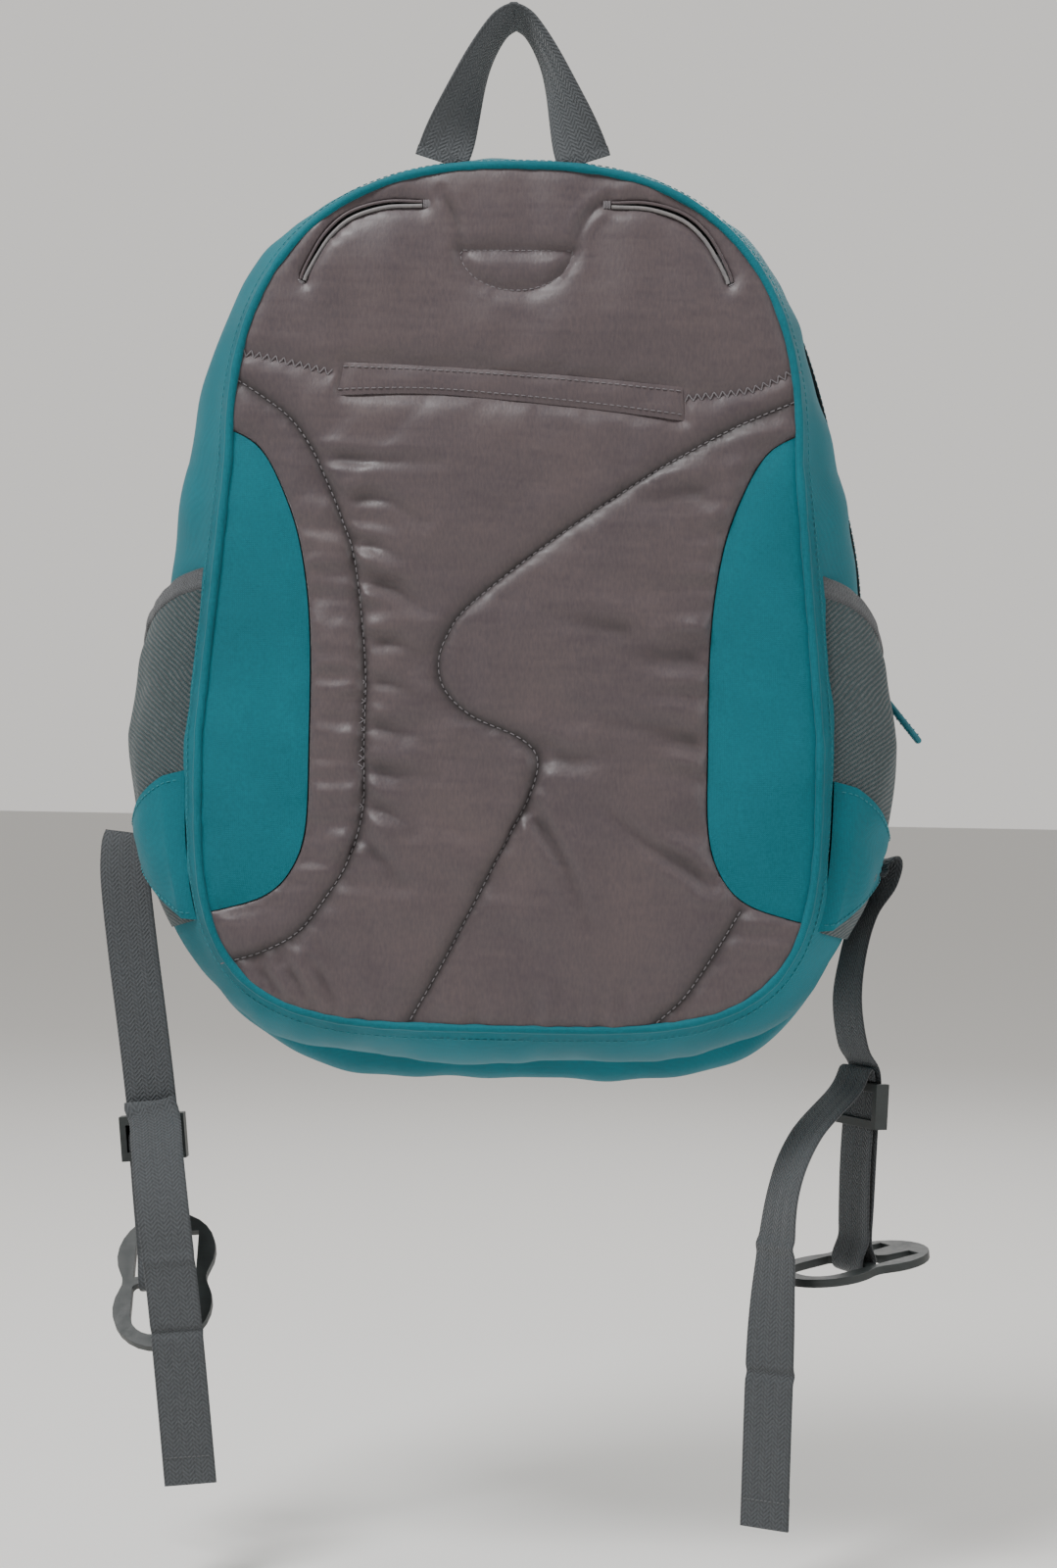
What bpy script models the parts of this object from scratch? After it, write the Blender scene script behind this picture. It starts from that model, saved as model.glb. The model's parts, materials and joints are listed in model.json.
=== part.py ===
"""Daypack hanging by its haul loop, as separate sewn panels and harness pieces.

Metres, +Z up. The wearer's side faces -Y, the front pocket faces +Y and +X is to the right when
looking at the back panel. The origin is where a hook carries the haul loop.
"""

from math import cos, pi, radians, sin, sqrt

import bmesh
import bpy
from mathutils import Vector

# ---- driving dimensions -------------------------------------------------------------------
GAP = 0.0004  # clearance between pieces that touch
FABRIC = 0.0018  # wall of a sewn fabric panel
WEBBING_WIDTH = 0.025
WEBBING = 0.0012  # webbing thickness

# Seam outline of the back panel, as a superellipse dome, a flared side and a rounded bottom.
SHOULDER_Z = -0.204
SHOULDER_HALF = 0.135
TOP_Z = -0.065
SIDE_Z = -0.335
SIDE_HALF = 0.147
BOTTOM_Z = -0.4715
DOME_POWER = 2.5
BASE_POWER = 4.0
BASE_TUCK = 0.35  # share of the side growth lost towards the bottom corners
# Shares of the side growth on the slack upper part and lower down, for each side.
LEFT_SHARES = (0.68, 1.0)
RIGHT_SHARES = (0.30, 0.90)
SLACK_Z = (-0.130, -0.260)  # heights between which the shell fills out to its full width
DOME_STEPS = 12
SIDE_STEPS = 6
BASE_STEPS = 12
HALF = DOME_STEPS + SIDE_STEPS + BASE_STEPS

# How far the shell stands outside that outline at each depth: (y, sides, top, bottom).
SHELL = [
    (-0.004, 0.000, 0.000, 0.000),
    (0.008, 0.010, 0.003, 0.009),
    (0.022, 0.021, 0.006, 0.015),
    (0.038, 0.027, 0.008, 0.018),
    (0.060, 0.028, 0.008, 0.019),
    (0.072, 0.026, 0.004, 0.017),
    (0.082, 0.022, -0.006, 0.013),
]
POCKET = [
    (0.0848, 0.022, 0.0, 0.018),
    (0.0920, 0.029, 0.0, 0.029),
    (0.1040, 0.030, 0.0, 0.033),
    (0.1140, 0.025, 0.0, 0.028),
    (0.1180, 0.016, 0.0, 0.018),
]
ZIP_Y = 0.060
TAPE = 0.0008  # thickness of a zip tape
TAPE_WIDTH = 0.0073
FRONT_Y = 0.082  # inner face of the main compartment's front wall

PAD_FRONT = -0.007
PAD_INSET = 0.0024
INSERT_FRONT = -0.006
INNER_WALL_Y = 0.016

FLAP_CUT = DOME_STEPS + 5.0  # station where the opening flap ends and the fixed front starts
ZIP_END = DOME_STEPS + 5.9
SLIDER_STATION = DOME_STEPS + 4.95  # where the closed main zip's slider rests
POCKET_TOP_Z = -0.352
POCKET_STRIP_Z = POCKET_TOP_Z - 0.001  # underside of the strips that close the pocket's top
POCKET_MOUTH = 0.0046  # gap between those strips where the zip runs
POCKET_MOUTH_Y = 0.1015
POCKET_SLIDER_X = 0.146

# Inner edge of a side insert, from the upper seam round to the lower seam, on the right side.
INSERT_EDGE = [
    (0.150, -0.186),
    (0.134, -0.191),
    (0.119, -0.200),
    (0.108, -0.219),
    (0.099, -0.246),
    (0.094, -0.285),
    (0.0935, -0.340),
    (0.0945, -0.378),
    (0.101, -0.398),
    (0.113, -0.410),
    (0.134, -0.417),
    (0.150, -0.420),
]
# Centre line of a shoulder strap slit, on the right side.
SLIT = [
    (0.045, -0.0845),
    (0.062, -0.0850),
    (0.078, -0.0900),
    (0.0885, -0.0990),
    (0.0955, -0.1100),
    (0.1005, -0.1200),
]
SLIT_WIDTH = 0.0062
PIPING = 0.0012

WELT = (-0.079, 0.079, -0.175, -0.160)  # x and z limits of the stow slot's welt
PATCH_HALF = 0.0265
PATCH_TOP = -0.106
PATCH_DROP = 0.019

# Side pockets: stations down the side and depth range.
SIDE_POCKET_Y = (0.004, 0.0518)
SIDE_POCKET_TOP = DOME_STEPS + 2.85
SIDE_POCKET_END = DOME_STEPS + SIDE_STEPS + 4.0
SIDE_POCKET_SWELL = 0.0095
MOUTH_DROP = 1.8  # stations by which the pocket mouth falls from the back seam to the front
MESH = 0.0012
WING_LIFT = 0.0016

WING_SEAM = (DOME_STEPS + SIDE_STEPS + 0.7, DOME_STEPS + SIDE_STEPS + 4.0)
WING_TIP = (DOME_STEPS + SIDE_STEPS + 1.9, DOME_STEPS + SIDE_STEPS + 2.6)
WING_TIP_Y = 0.0515

# Stowed shoulder strap: the centres of its rounded ends, its half width and its depth range.
STOWED_TOP = (0.074, -0.112)
STOWED_FOOT = (0.052, -0.385)
STOWED_HALF = 0.029
STOWED_CAP = 0.012
STOWED_Y = (0.0035, 0.0125)
STOWED_LOOP = 0.020  # width of the webbing loop at its foot

HAUL_PIVOT = Vector((0.0, -0.0032, -0.0642))
HAUL_WEBBING = 0.002
# Half of the haul loop's centre line, from where it is sewn in up to its top.
HAUL_HALF = [
    (0.0335, 0, -0.0606),
    (0.0278, 0, -0.0440),
    (0.0213, 0, -0.0270),
    (0.0143, 0, -0.0125),
    (0.0068, 0, -0.0022),
    (0.0, 0, HAUL_WEBBING / 2),
]

PULLER_LENGTH = 0.026
PULLER_SECTION = (0.008, 0.003)
PULLER_LEAN = radians(39)  # how far the main puller hangs from plumb, away from the pack
SLIDER = (0.011, 0.009, 0.0040)
BRIDGE = (0.004, 0.003, 0.0026)
BRIDGE_RISE = 0.0021  # height of the puller's pivot above the slider's top

# Webbing ladder adjuster and hook plate, in the strap's own across, along and out directions.
ADJUSTER = (0.032, 0.022, 0.0076)
ADJUSTER_PASS = 0.0038
PLATE_LOBE = 0.0245
PLATE_CENTRE = 0.0155
PLATE_FILLET = 0.010
PLATE_THICK = 0.004
BAR_RADIUS = 0.0022
TURN_INSIDE = 0.0033  # inside radius of the webbing where it goes round the bar
LAYER_OFFSET = 0.0009  # centre of each webbing layer where the two lie together

COLOURS = {
    "teal": ((0.008, 0.175, 0.215), 0.75, 0.0),
    "grey_satin": ((0.150, 0.128, 0.135), 0.45, 0.0),
    "webbing": ((0.070, 0.075, 0.080), 0.80, 0.0),
    "mesh": ((0.130, 0.140, 0.140), 0.85, 0.0),
    "binding": ((0.110, 0.115, 0.120), 0.70, 0.0),
    "hardware": ((0.045, 0.055, 0.055), 0.40, 0.0),
    "lining": ((0.180, 0.180, 0.180), 0.70, 0.0),
    "zip_tape": ((0.030, 0.032, 0.034), 0.80, 0.0),
    "zip_metal": ((0.180, 0.180, 0.180), 0.35, 0.9),
}


def clear_scene():
    for item in list(bpy.data.objects):
        bpy.data.objects.remove(item, do_unlink=True)


def material(slot):
    """One Principled material for each colour name, made the first time it is asked for."""
    found = bpy.data.materials.get(slot)
    if found:
        return found
    colour, rough, metal = COLOURS[slot]
    made = bpy.data.materials.new(slot)
    made.use_nodes = True
    shader = made.node_tree.nodes["Principled BSDF"]
    shader.inputs["Base Color"].default_value = (*colour, 1.0)
    shader.inputs["Roughness"].default_value = rough
    shader.inputs["Metallic"].default_value = metal
    return made


def add_object(name, bm, slot):
    """Turn a bmesh in world coordinates into a named object with faces pointing out."""
    bm.normal_update()
    bmesh.ops.recalc_face_normals(bm, faces=bm.faces)
    mesh = bpy.data.meshes.new(name)
    bm.to_mesh(mesh)
    bm.free()
    obj = bpy.data.objects.new(name, mesh)
    bpy.context.collection.objects.link(obj)
    mesh.materials.append(material(slot))
    return obj


def set_origin(obj, point):
    """Move an object's origin to a joint axis without moving its shape."""
    point = Vector(point)
    for vertex in obj.data.vertices:
        vertex.co -= point
    obj.location = point


def cutter(obj):
    obj.hide_render = True
    obj.display_type = "WIRE"
    return obj


def boolean(target, tool, operation):
    change = target.modifiers.new(tool.name, "BOOLEAN")
    change.object = tool
    change.operation = operation
    change.solver = "EXACT"


# ---- shape helpers ------------------------------------------------------------------------


def smooth_path(points, per_span):
    """Points along a Catmull-Rom curve through the given vectors."""
    points = [Vector(p) for p in points]
    ends = [2 * points[0] - points[1], *points, 2 * points[-1] - points[-2]]
    path = []
    for i in range(len(points) - 1):
        a, b, c, d = ends[i : i + 4]
        for k in range(per_span):
            u = k / per_span
            path.append(
                0.5
                * (
                    2 * b
                    + (c - a) * u
                    + (2 * a - 5 * b + 4 * c - d) * u**2
                    + (3 * b - a - 3 * c + d) * u**3
                )
            )
    path.append(points[-1])
    return path


def solid_from_grids(name, outer, inner, slot, closed=False):
    """A closed sheet between two grids of points; closed joins the last row to the first."""
    bm = bmesh.new()
    rows, columns = len(outer), len(outer[0])
    out = [[bm.verts.new(p) for p in row] for row in outer]
    inn = [[bm.verts.new(p) for p in row] for row in inner]
    spans = rows if closed else rows - 1
    for i in range(spans):
        n = (i + 1) % rows
        for j in range(columns - 1):
            bm.faces.new((out[i][j], out[n][j], out[n][j + 1], out[i][j + 1]))
            bm.faces.new((inn[i][j + 1], inn[n][j + 1], inn[n][j], inn[i][j]))
        for j in (0, columns - 1):
            bm.faces.new((out[i][j], inn[i][j], inn[n][j], out[n][j]))
    if not closed:
        for i in (0, rows - 1):
            for j in range(columns - 1):
                bm.faces.new((out[i][j], out[i][j + 1], inn[i][j + 1], inn[i][j]))
    return add_object(name, bm, slot)


def prism(name, outline, low_y, high_y, slot):
    """A flat panel: an outline in x and z, extruded in depth."""
    bm = bmesh.new()
    face = bm.faces.new([bm.verts.new((x, low_y, z)) for x, z in outline])
    grown = bmesh.ops.extrude_face_region(bm, geom=[face])
    lifted = [v for v in grown["geom"] if isinstance(v, bmesh.types.BMVert)]
    bmesh.ops.translate(bm, vec=(0, high_y - low_y, 0), verts=lifted)
    return add_object(name, bm, slot)


def ribbon(name, path, across, width, thickness, slot, origin=None):
    """A flat strip of webbing along a path, with its width direction given at each point."""
    outer = []
    inner = []
    for i, point in enumerate(path):
        ahead = path[min(i + 1, len(path) - 1)] - path[max(i - 1, 0)]
        side = across[i] - ahead.normalized() * across[i].dot(ahead.normalized())
        side.normalize()
        face = ahead.normalized().cross(side)
        edges = (point - side * width / 2, point, point + side * width / 2)
        outer.append([e + face * thickness / 2 for e in edges])
        inner.append([e - face * thickness / 2 for e in edges])
    obj = solid_from_grids(name, outer, inner, slot)
    if origin is not None:
        set_origin(obj, origin)
    return obj


# ---- the shell's outline ------------------------------------------------------------------


def depth_station(station):
    """The station folded onto the right side, so that it counts down from the top."""
    s = station % (2 * HALF)
    return min(s, 2 * HALF - s)


def outline_point(station):
    """A point of the seam outline: 0 at the top, HALF at the bottom, on round the left side."""
    mirrored = station % (2 * HALF) > HALF
    s = depth_station(station)
    if s <= DOME_STEPS:
        a = pi / 2 * (1 - s / DOME_STEPS)
        x = SHOULDER_HALF * cos(a) ** (2 / DOME_POWER)
        z = SHOULDER_Z + (TOP_Z - SHOULDER_Z) * sin(a) ** (2 / DOME_POWER)
    elif s <= DOME_STEPS + SIDE_STEPS:
        k = (s - DOME_STEPS) / SIDE_STEPS
        x = SHOULDER_HALF + (SIDE_HALF - SHOULDER_HALF) * k
        z = SHOULDER_Z + (SIDE_Z - SHOULDER_Z) * k
    else:
        k = (s - DOME_STEPS - SIDE_STEPS) / BASE_STEPS
        a = pi / 2 * k * k * (3 - 2 * k)
        x = SIDE_HALF * max(cos(a), 0.0) ** (2 / BASE_POWER)
        z = SIDE_Z + (BOTTOM_Z - SIDE_Z) * sin(a) ** (2 / BASE_POWER)
    return (-x if mirrored else x), z


def outline_normal(station):
    step = 0.05
    x0, z0 = outline_point(station - step)
    x1, z1 = outline_point(station + step)
    length = sqrt((x1 - x0) ** 2 + (z1 - z0) ** 2)
    return (z0 - z1) / length, (x1 - x0) / length


def grown_point(station, sides, top, bottom, extra=0.0):
    """The outline moved outward by amounts that depend on which way the edge faces."""
    x, z = outline_point(station)
    nx, nz = outline_normal(station)
    vertical = top if nz > 0 else bottom
    k = min(1.0, max(0.0, (z - SLACK_Z[0]) / (SLACK_Z[1] - SLACK_Z[0])))
    slack, full = LEFT_SHARES if x < 0 else RIGHT_SHARES
    sides *= slack + (full - slack) * k * k * (3 - 2 * k)
    tuck = BASE_TUCK * min(1.0, max(0.0, (depth_station(station) - DOME_STEPS - SIDE_STEPS) / 8))
    grow = sides * (1 - tuck) * nx * nx + vertical * nz * nz + extra
    return x + nx * grow, z + nz * grow


def profile_at(table, y):
    """Side, top and bottom growth of the shell at one depth."""
    for low, high in zip(table, table[1:]):
        if y <= high[0]:
            k = (y - low[0]) / (high[0] - low[0])
            return [low[i] + (high[i] - low[i]) * k for i in (1, 2, 3)]
    return table[-1][1:]


def stations(first, last, spacing=1.0):
    count = max(1, round((last - first) / spacing))
    return [first + (last - first) * i / count for i in range(count + 1)]


def shell_band(name, table, depths, first, last, slot, offset=0.0, wall=FABRIC):
    """A strip of the shell between two stations and over a range of depths."""
    closed = last - first >= 2 * HALF
    along = stations(first, last)
    if closed:
        along = along[:-1]
    grids = []
    for extra in (offset, offset - wall):
        rows = []
        for s in along:
            row = []
            for y in depths:
                x, z = grown_point(s, *profile_at(table, y), extra)
                row.append(Vector((x, y, z)))
            rows.append(row)
        grids.append(rows)
    return solid_from_grids(name, grids[0], grids[1], slot, closed)


def outline_loop(first, last, growth, extra):
    return [grown_point(s, *growth, extra) for s in stations(first, last)]


# ---- back panel ---------------------------------------------------------------------------


def panel_loop():
    return outline_loop(0, 2 * HALF - 1, (0, 0, 0), -PAD_INSET)


def insert_outline(side, shift):
    edge = smooth_path([(x + shift, z, 0) for x, z in INSERT_EDGE], 3)
    loop = [(side * p.x, p.y) for p in edge]
    loop.append((side * 0.2, INSERT_EDGE[-1][1]))
    loop.append((side * 0.2, INSERT_EDGE[0][1]))
    return loop


def slit_outline(side, half_width, longer):
    """A curved slot of constant width round the slit's centre line."""
    centre = smooth_path([(x, z, 0) for x, z in SLIT], 3)
    centre[0] += (centre[0] - centre[1]).normalized() * longer
    centre[-1] += (centre[-1] - centre[-2]).normalized() * longer
    left, right = [], []
    for i, p in enumerate(centre):
        ahead = centre[min(i + 1, len(centre) - 1)] - centre[max(i - 1, 0)]
        normal = Vector((-ahead.y, ahead.x, 0)).normalized()
        left.append(p + normal * half_width)
        right.append(p - normal * half_width)
    return [(side * p.x, p.y) for p in left + right[::-1]]


def patch_outline(shrink):
    loop = []
    for i in range(15):
        a = pi * i / 14
        x = (PATCH_HALF - shrink) * cos(a)
        loop.append((x, PATCH_TOP - shrink - (PATCH_DROP - 2 * shrink) * sin(a)))
    return loop


def welt_outline(shrink):
    x0, x1, z0, z1 = WELT
    return [
        (x0 + shrink, z0 + shrink),
        (x1 - shrink, z0 + shrink),
        (x1 - shrink, z1 - shrink),
        (x0 + shrink, z1 - shrink),
    ]


def back_panel():
    """Padded back panel with two woven side inserts, the strap slits and their trim."""
    pad = prism("back_panel_pad", panel_loop(), PAD_FRONT, 0.0, "grey_satin")
    deep = 0.02
    for side, word in ((-1, "left"), (1, "right")):
        insert_cut = prism(f"cut_insert_{word}", insert_outline(side, 0), -deep, deep, "teal")
        boolean(pad, cutter(insert_cut), "DIFFERENCE")
        slit = slit_outline(side, SLIT_WIDTH / 2 + PIPING + GAP, PIPING + GAP)
        slit_cut = prism(f"cut_slit_{word}", slit, -deep, deep, "lining")
        boolean(pad, cutter(slit_cut), "DIFFERENCE")

        insert = prism(f"side_insert_{word}", panel_loop(), INSERT_FRONT, 0.0, "teal")
        keep = prism(f"keep_insert_{word}", insert_outline(side, GAP), -deep, deep, "teal")
        boolean(insert, cutter(keep), "INTERSECT")

        edge = slit_outline(side, SLIT_WIDTH / 2 + PIPING, PIPING)
        piping = prism(f"slit_piping_{word}", edge, PAD_FRONT, -0.001, "lining")
        hole = slit_outline(side, SLIT_WIDTH / 2, 0.0)
        hole_cut = prism(f"cut_piping_{word}", hole, -deep, deep, "lining")
        boolean(piping, cutter(hole_cut), "DIFFERENCE")

    recess = PAD_FRONT + 0.002
    welt_cut = prism("cut_welt", welt_outline(-GAP), -deep, recess, "grey_satin")
    boolean(pad, cutter(welt_cut), "DIFFERENCE")
    prism("stow_slot_welt", welt_outline(0), PAD_FRONT, recess - GAP, "grey_satin")
    patch_cut = prism("cut_patch", patch_outline(-GAP), -deep, recess, "grey_satin")
    boolean(pad, cutter(patch_cut), "DIFFERENCE")
    prism("anchor_patch", patch_outline(0), PAD_FRONT, recess - GAP, "grey_satin")


# ---- main shell ---------------------------------------------------------------------------


def main_shell():
    rear_depths = [row[0] for row in SHELL if row[0] <= ZIP_Y]
    front_depths = [ZIP_Y + GAP] + [row[0] for row in SHELL if row[0] > ZIP_Y]
    around = 2 * HALF
    shell_band("rear_gusset", SHELL, rear_depths, 0, around, "teal")
    wall_growth = profile_at(SHELL, INNER_WALL_Y)
    loop = outline_loop(0, around - 1, wall_growth, -FABRIC - 2 * GAP)
    prism("inner_back_wall", loop, INNER_WALL_Y, INNER_WALL_Y + FABRIC, "lining")

    share = 0.03  # stations left free on each side of the flap's cut
    low = FLAP_CUT + share
    shell_band("lower_front_gusset", SHELL, front_depths, low, around - low, "teal")
    growth = profile_at(SHELL, FRONT_Y)
    loop = outline_loop(low, around - low, growth, 0)
    prism("lower_front_wall", loop, FRONT_Y + GAP, FRONT_Y + GAP + FABRIC, "teal")
    high = FLAP_CUT - share
    shell_band("flap_gusset", SHELL, front_depths, -high, high, "teal")
    loop = outline_loop(-high, high, growth, 0)
    prism("flap_panel", loop, FRONT_Y + GAP, FRONT_Y + GAP + FABRIC, "teal")


def main_zip():
    """Two zip tapes round the dome, lying on the gussets either side of the zip line."""
    lift = GAP + TAPE
    rear = [ZIP_Y - TAPE_WIDTH, ZIP_Y - TAPE_WIDTH / 2, ZIP_Y - GAP]
    front = [ZIP_Y + 2 * GAP, ZIP_Y + TAPE_WIDTH / 2, ZIP_Y + TAPE_WIDTH]
    high = FLAP_CUT - 0.03
    shell_band("zip_tape_rear", SHELL, rear, -ZIP_END, ZIP_END, "zip_tape", lift, TAPE)
    shell_band("zip_tape_front", SHELL, front, -high, high, "zip_tape", lift, TAPE)


def front_pocket():
    """Pocket across the lower front: a deep gusset, a face and two strips with a zip between."""
    station = DOME_STEPS + SIDE_STEPS
    while outline_point(station)[1] > POCKET_TOP_Z - 0.001:
        station += 0.01
    around = 2 * HALF
    depths = [row[0] for row in POCKET]
    shell_band("pocket_gusset", POCKET, depths, station, around - station, "teal")
    face_y = depths[-1] + GAP
    loop = outline_loop(station, around - station, POCKET[-1][1:], 0)
    prism("pocket_face", loop, face_y, face_y + FABRIC, "teal")
    half_mouth = POCKET_MOUTH / 2
    spans = {
        "pocket_zip_rear": (depths[0], POCKET_MOUTH_Y - half_mouth),
        "pocket_zip_front": (POCKET_MOUTH_Y + half_mouth, face_y + FABRIC),
    }
    for name, (y0, y1) in spans.items():
        outer, inner = [], []
        for y in (y0, (y0 + y1) / 2, y1):
            growth = profile_at(POCKET, min(y, depths[-1]))
            left = grown_point(around - station, *growth, -0.001)[0]
            right = grown_point(station, *growth, -0.001)[0]
            row = [(left, y), (0.0, y), (right, y)]
            outer.append([Vector((x, d, POCKET_STRIP_Z + FABRIC)) for x, d in row])
            inner.append([Vector((x, d, POCKET_STRIP_Z)) for x, d in row])
        solid_from_grids(name, outer, inner, "zip_tape")


# ---- side pockets and wings ---------------------------------------------------------------


def pocket_lift(u, v):
    """How far a side pocket stands off the shell; u runs front to back and v top to bottom."""
    across = 1 - abs(2 * u - 1) ** 4
    down = sin(pi * min(1.0, 0.28 + 0.72 * v)) if v < 1 else 0.0
    return 3 * GAP + SIDE_POCKET_SWELL * across * down


def side_surface(side, y, station, lift):
    turned = station if side > 0 else 2 * HALF - station
    x, z = grown_point(turned, *profile_at(SHELL, y), lift)
    return Vector((x, y, z))


def pocket_slope(y):
    """Stations by which the pocket's mouth drops from the back seam towards the front."""
    low, high = SIDE_POCKET_Y
    return MOUTH_DROP * (y - low) / (high - low)


def side_pocket(side, word):
    low, high = SIDE_POCKET_Y
    depths = [low + (high - low) * i / 10 for i in range(11)]
    levels = [i / 14 for i in range(15)]

    def grid(extra, span, lead):
        rows = []
        for v in span:
            row = []
            for y in depths:
                top = SIDE_POCKET_TOP + pocket_slope(y) + lead
                station = top + (SIDE_POCKET_END - top) * v
                lift = pocket_lift((y - low) / (high - low), max(v, 0.0)) + extra
                row.append(side_surface(side, y, station, lift))
            rows.append(row)
        return rows

    solid_from_grids(f"side_pocket_{word}", grid(MESH, levels, 0), grid(0, levels, 0), "mesh")
    trim = [-0.062, -0.008]
    name = f"pocket_binding_{word}"
    solid_from_grids(name, grid(MESH + 0.0006, trim, 0), grid(-0.0003, trim, 0), "binding")


def strap_wing(side, word):
    """Triangular web from the back seam, over the side pocket's foot, to the strap's root."""
    low, high = SIDE_POCKET_Y
    rows_out, rows_in = [], []
    for i in range(11):
        k = i / 10
        y = low + (WING_TIP_Y - low) * k
        narrowing = sin(pi / 2 * k)
        first = WING_SEAM[0] + (WING_TIP[0] - WING_SEAM[0]) * narrowing
        last = WING_SEAM[1] + (WING_TIP[1] - WING_SEAM[1]) * narrowing
        row_out, row_in = [], []
        for j in range(7):
            station = first + (last - first) * j / 6
            top = SIDE_POCKET_TOP + pocket_slope(y)
            v = (station - top) / (SIDE_POCKET_END - top)
            lift = pocket_lift((y - low) / (high - low), min(v, 1.0)) + MESH + WING_LIFT
            row_out.append(side_surface(side, y, station, lift + FABRIC))
            row_in.append(side_surface(side, y, station, lift))
        rows_out.append(row_out)
        rows_in.append(row_in)
    solid_from_grids(f"strap_wing_{word}", rows_out, rows_in, "teal")


# ---- stowed shoulder straps ---------------------------------------------------------------


def shoulder_strap(side, word):
    """Padded strap lying in the space behind the back panel, with a webbing loop at its foot."""
    top = Vector(STOWED_TOP)
    foot = Vector(STOWED_FOOT)
    along = (foot - top).normalized()
    normal = Vector((-along.y, along.x))
    outline = []
    for centre, turn in ((top, -1), (foot, 1)):
        for i in range(9):
            a = pi * i / 8
            aside = -turn * STOWED_HALF * cos(a)
            outline.append(centre + normal * aside + along * turn * STOWED_CAP * sin(a))
    loop = [(side * p.x, p.y) for p in outline]
    prism(f"shoulder_strap_{word}", loop, *STOWED_Y, "lining")
    start = foot + along * (STOWED_CAP + 0.0015)
    middle_y = sum(STOWED_Y) / 2
    ring = [
        (0.0, -0.0020),
        (0.020, -0.0024),
        (0.030, -0.0012),
        (0.030, 0.0012),
        (0.020, 0.0024),
        (0.0, 0.0020),
    ]
    path = []
    for reach, depth in ring:
        at = start + along * reach
        path.append(Vector((side * at.x, middle_y + depth, at.y)))
    across = [Vector((side * normal.x, 0, normal.y))] * len(path)
    ribbon(f"shoulder_loop_{word}", path, across, STOWED_LOOP, 0.001, "webbing")


# ---- haul loop ----------------------------------------------------------------------------


def haul_loop():
    """Carrying loop: flat where it is sewn in and turned edge-on where it crosses a hook."""
    right = smooth_path(HAUL_HALF, 4)
    path = [Vector((-p.x, HAUL_PIVOT.y, p.z)) for p in right]
    path += [Vector((p.x, HAUL_PIVOT.y, p.z)) for p in right[-2::-1]]
    across = []
    middle = len(right) - 1
    for i in range(len(path)):
        ahead = (path[min(i + 1, len(path) - 1)] - path[max(i - 1, 0)]).normalized()
        flat = Vector((ahead.z, 0, -ahead.x))
        k = 1 - abs(i - middle) / middle
        turn = radians(90) * max(0.0, min(1.0, (k - 0.25) / 0.65))
        across.append(flat * cos(turn) + Vector((0, 1, 0)) * sin(turn))
    ribbon("haul_loop", path, across, WEBBING_WIDTH, HAUL_WEBBING, "webbing", HAUL_PIVOT)


# ---- zip sliders --------------------------------------------------------------------------


def oriented_box(name, centre, axes, size, slot, origin=None):
    """A box given by its centre, three directions and three sizes."""
    bm = bmesh.new()
    bmesh.ops.create_cube(bm, size=1.0)
    for vertex in bm.verts:
        spot = Vector(centre)
        for axis, length, step in zip(axes, size, vertex.co):
            spot += axis * length * step
        vertex.co = spot
    obj = add_object(name, bm, slot)
    if origin is not None:
        set_origin(obj, origin)
    return obj


def zip_slider(prefix, seat, run, out, hang):
    """A slider standing on its zip and a puller hanging from it in the direction given."""
    cross = run.cross(out).normalized()
    axes = (run, cross, out)
    centre = seat + out * (GAP + SLIDER[2] / 2)
    body = oriented_box(f"{prefix}_slider", centre, axes, SLIDER, "zip_metal")
    centre = seat + out * (GAP + SLIDER[2] + BRIDGE_RISE - BRIDGE[2] / 2)
    bridge = oriented_box(f"cut_{prefix}_bridge", centre, axes, BRIDGE, "zip_metal")
    boolean(body, cutter(bridge), "UNION")
    pivot = seat + out * (GAP + SLIDER[2] + BRIDGE_RISE)
    hinge = hang.cross(out).normalized() if prefix == "pocket_zip" else cross
    side = hang.cross(hinge).normalized()
    start = pivot + hang * BRIDGE[0] + out * 0.0006
    middle = start + hang * PULLER_LENGTH / 2
    size = (PULLER_LENGTH, *PULLER_SECTION)
    puller = oriented_box(f"{prefix}_puller", middle, (hang, hinge, side), size, "teal", pivot)
    soften = puller.modifiers.new("rounded", "BEVEL")
    soften.width = 0.0012
    soften.segments = 2
    soften.limit_method = "ANGLE"
    return body, puller


def zip_sliders():
    x, z = grown_point(SLIDER_STATION, *profile_at(SHELL, ZIP_Y), GAP + TAPE)
    seat = Vector((x, ZIP_Y, z))
    x0, z0 = outline_point(DOME_STEPS)
    x1, z1 = outline_point(DOME_STEPS + SIDE_STEPS)
    run = Vector((x0 - x1, 0, z0 - z1)).normalized()
    out = Vector((-run.z, 0, run.x)) * -1
    hang = Vector((sin(PULLER_LEAN), 0, -cos(PULLER_LEAN)))
    zip_slider("main_zip", seat, run, out, hang)
    seat = Vector((POCKET_SLIDER_X, POCKET_MOUTH_Y, POCKET_STRIP_Z + FABRIC))
    zip_slider("pocket_zip", seat, Vector((-1, 0, 0)), Vector((0, 0, 1)), Vector((0, 1, 0)))


# ---- lower straps -------------------------------------------------------------------------


class StrapFrame:
    """A lower strap's own directions: across its width, along it and out of its face."""

    def __init__(self, root, along, out, adjuster_at, bar_at):
        self.root = Vector(root)
        self.along = Vector(along).normalized()
        flat = Vector(out)
        self.out = (flat - self.along * flat.dot(self.along)).normalized()
        self.across = self.out.cross(self.along).normalized()
        self.adjuster_at = adjuster_at
        self.bar_at = bar_at

    def at(self, down, out=0.0, across=0.0):
        return self.root + self.along * down + self.out * out + self.across * across


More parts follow.
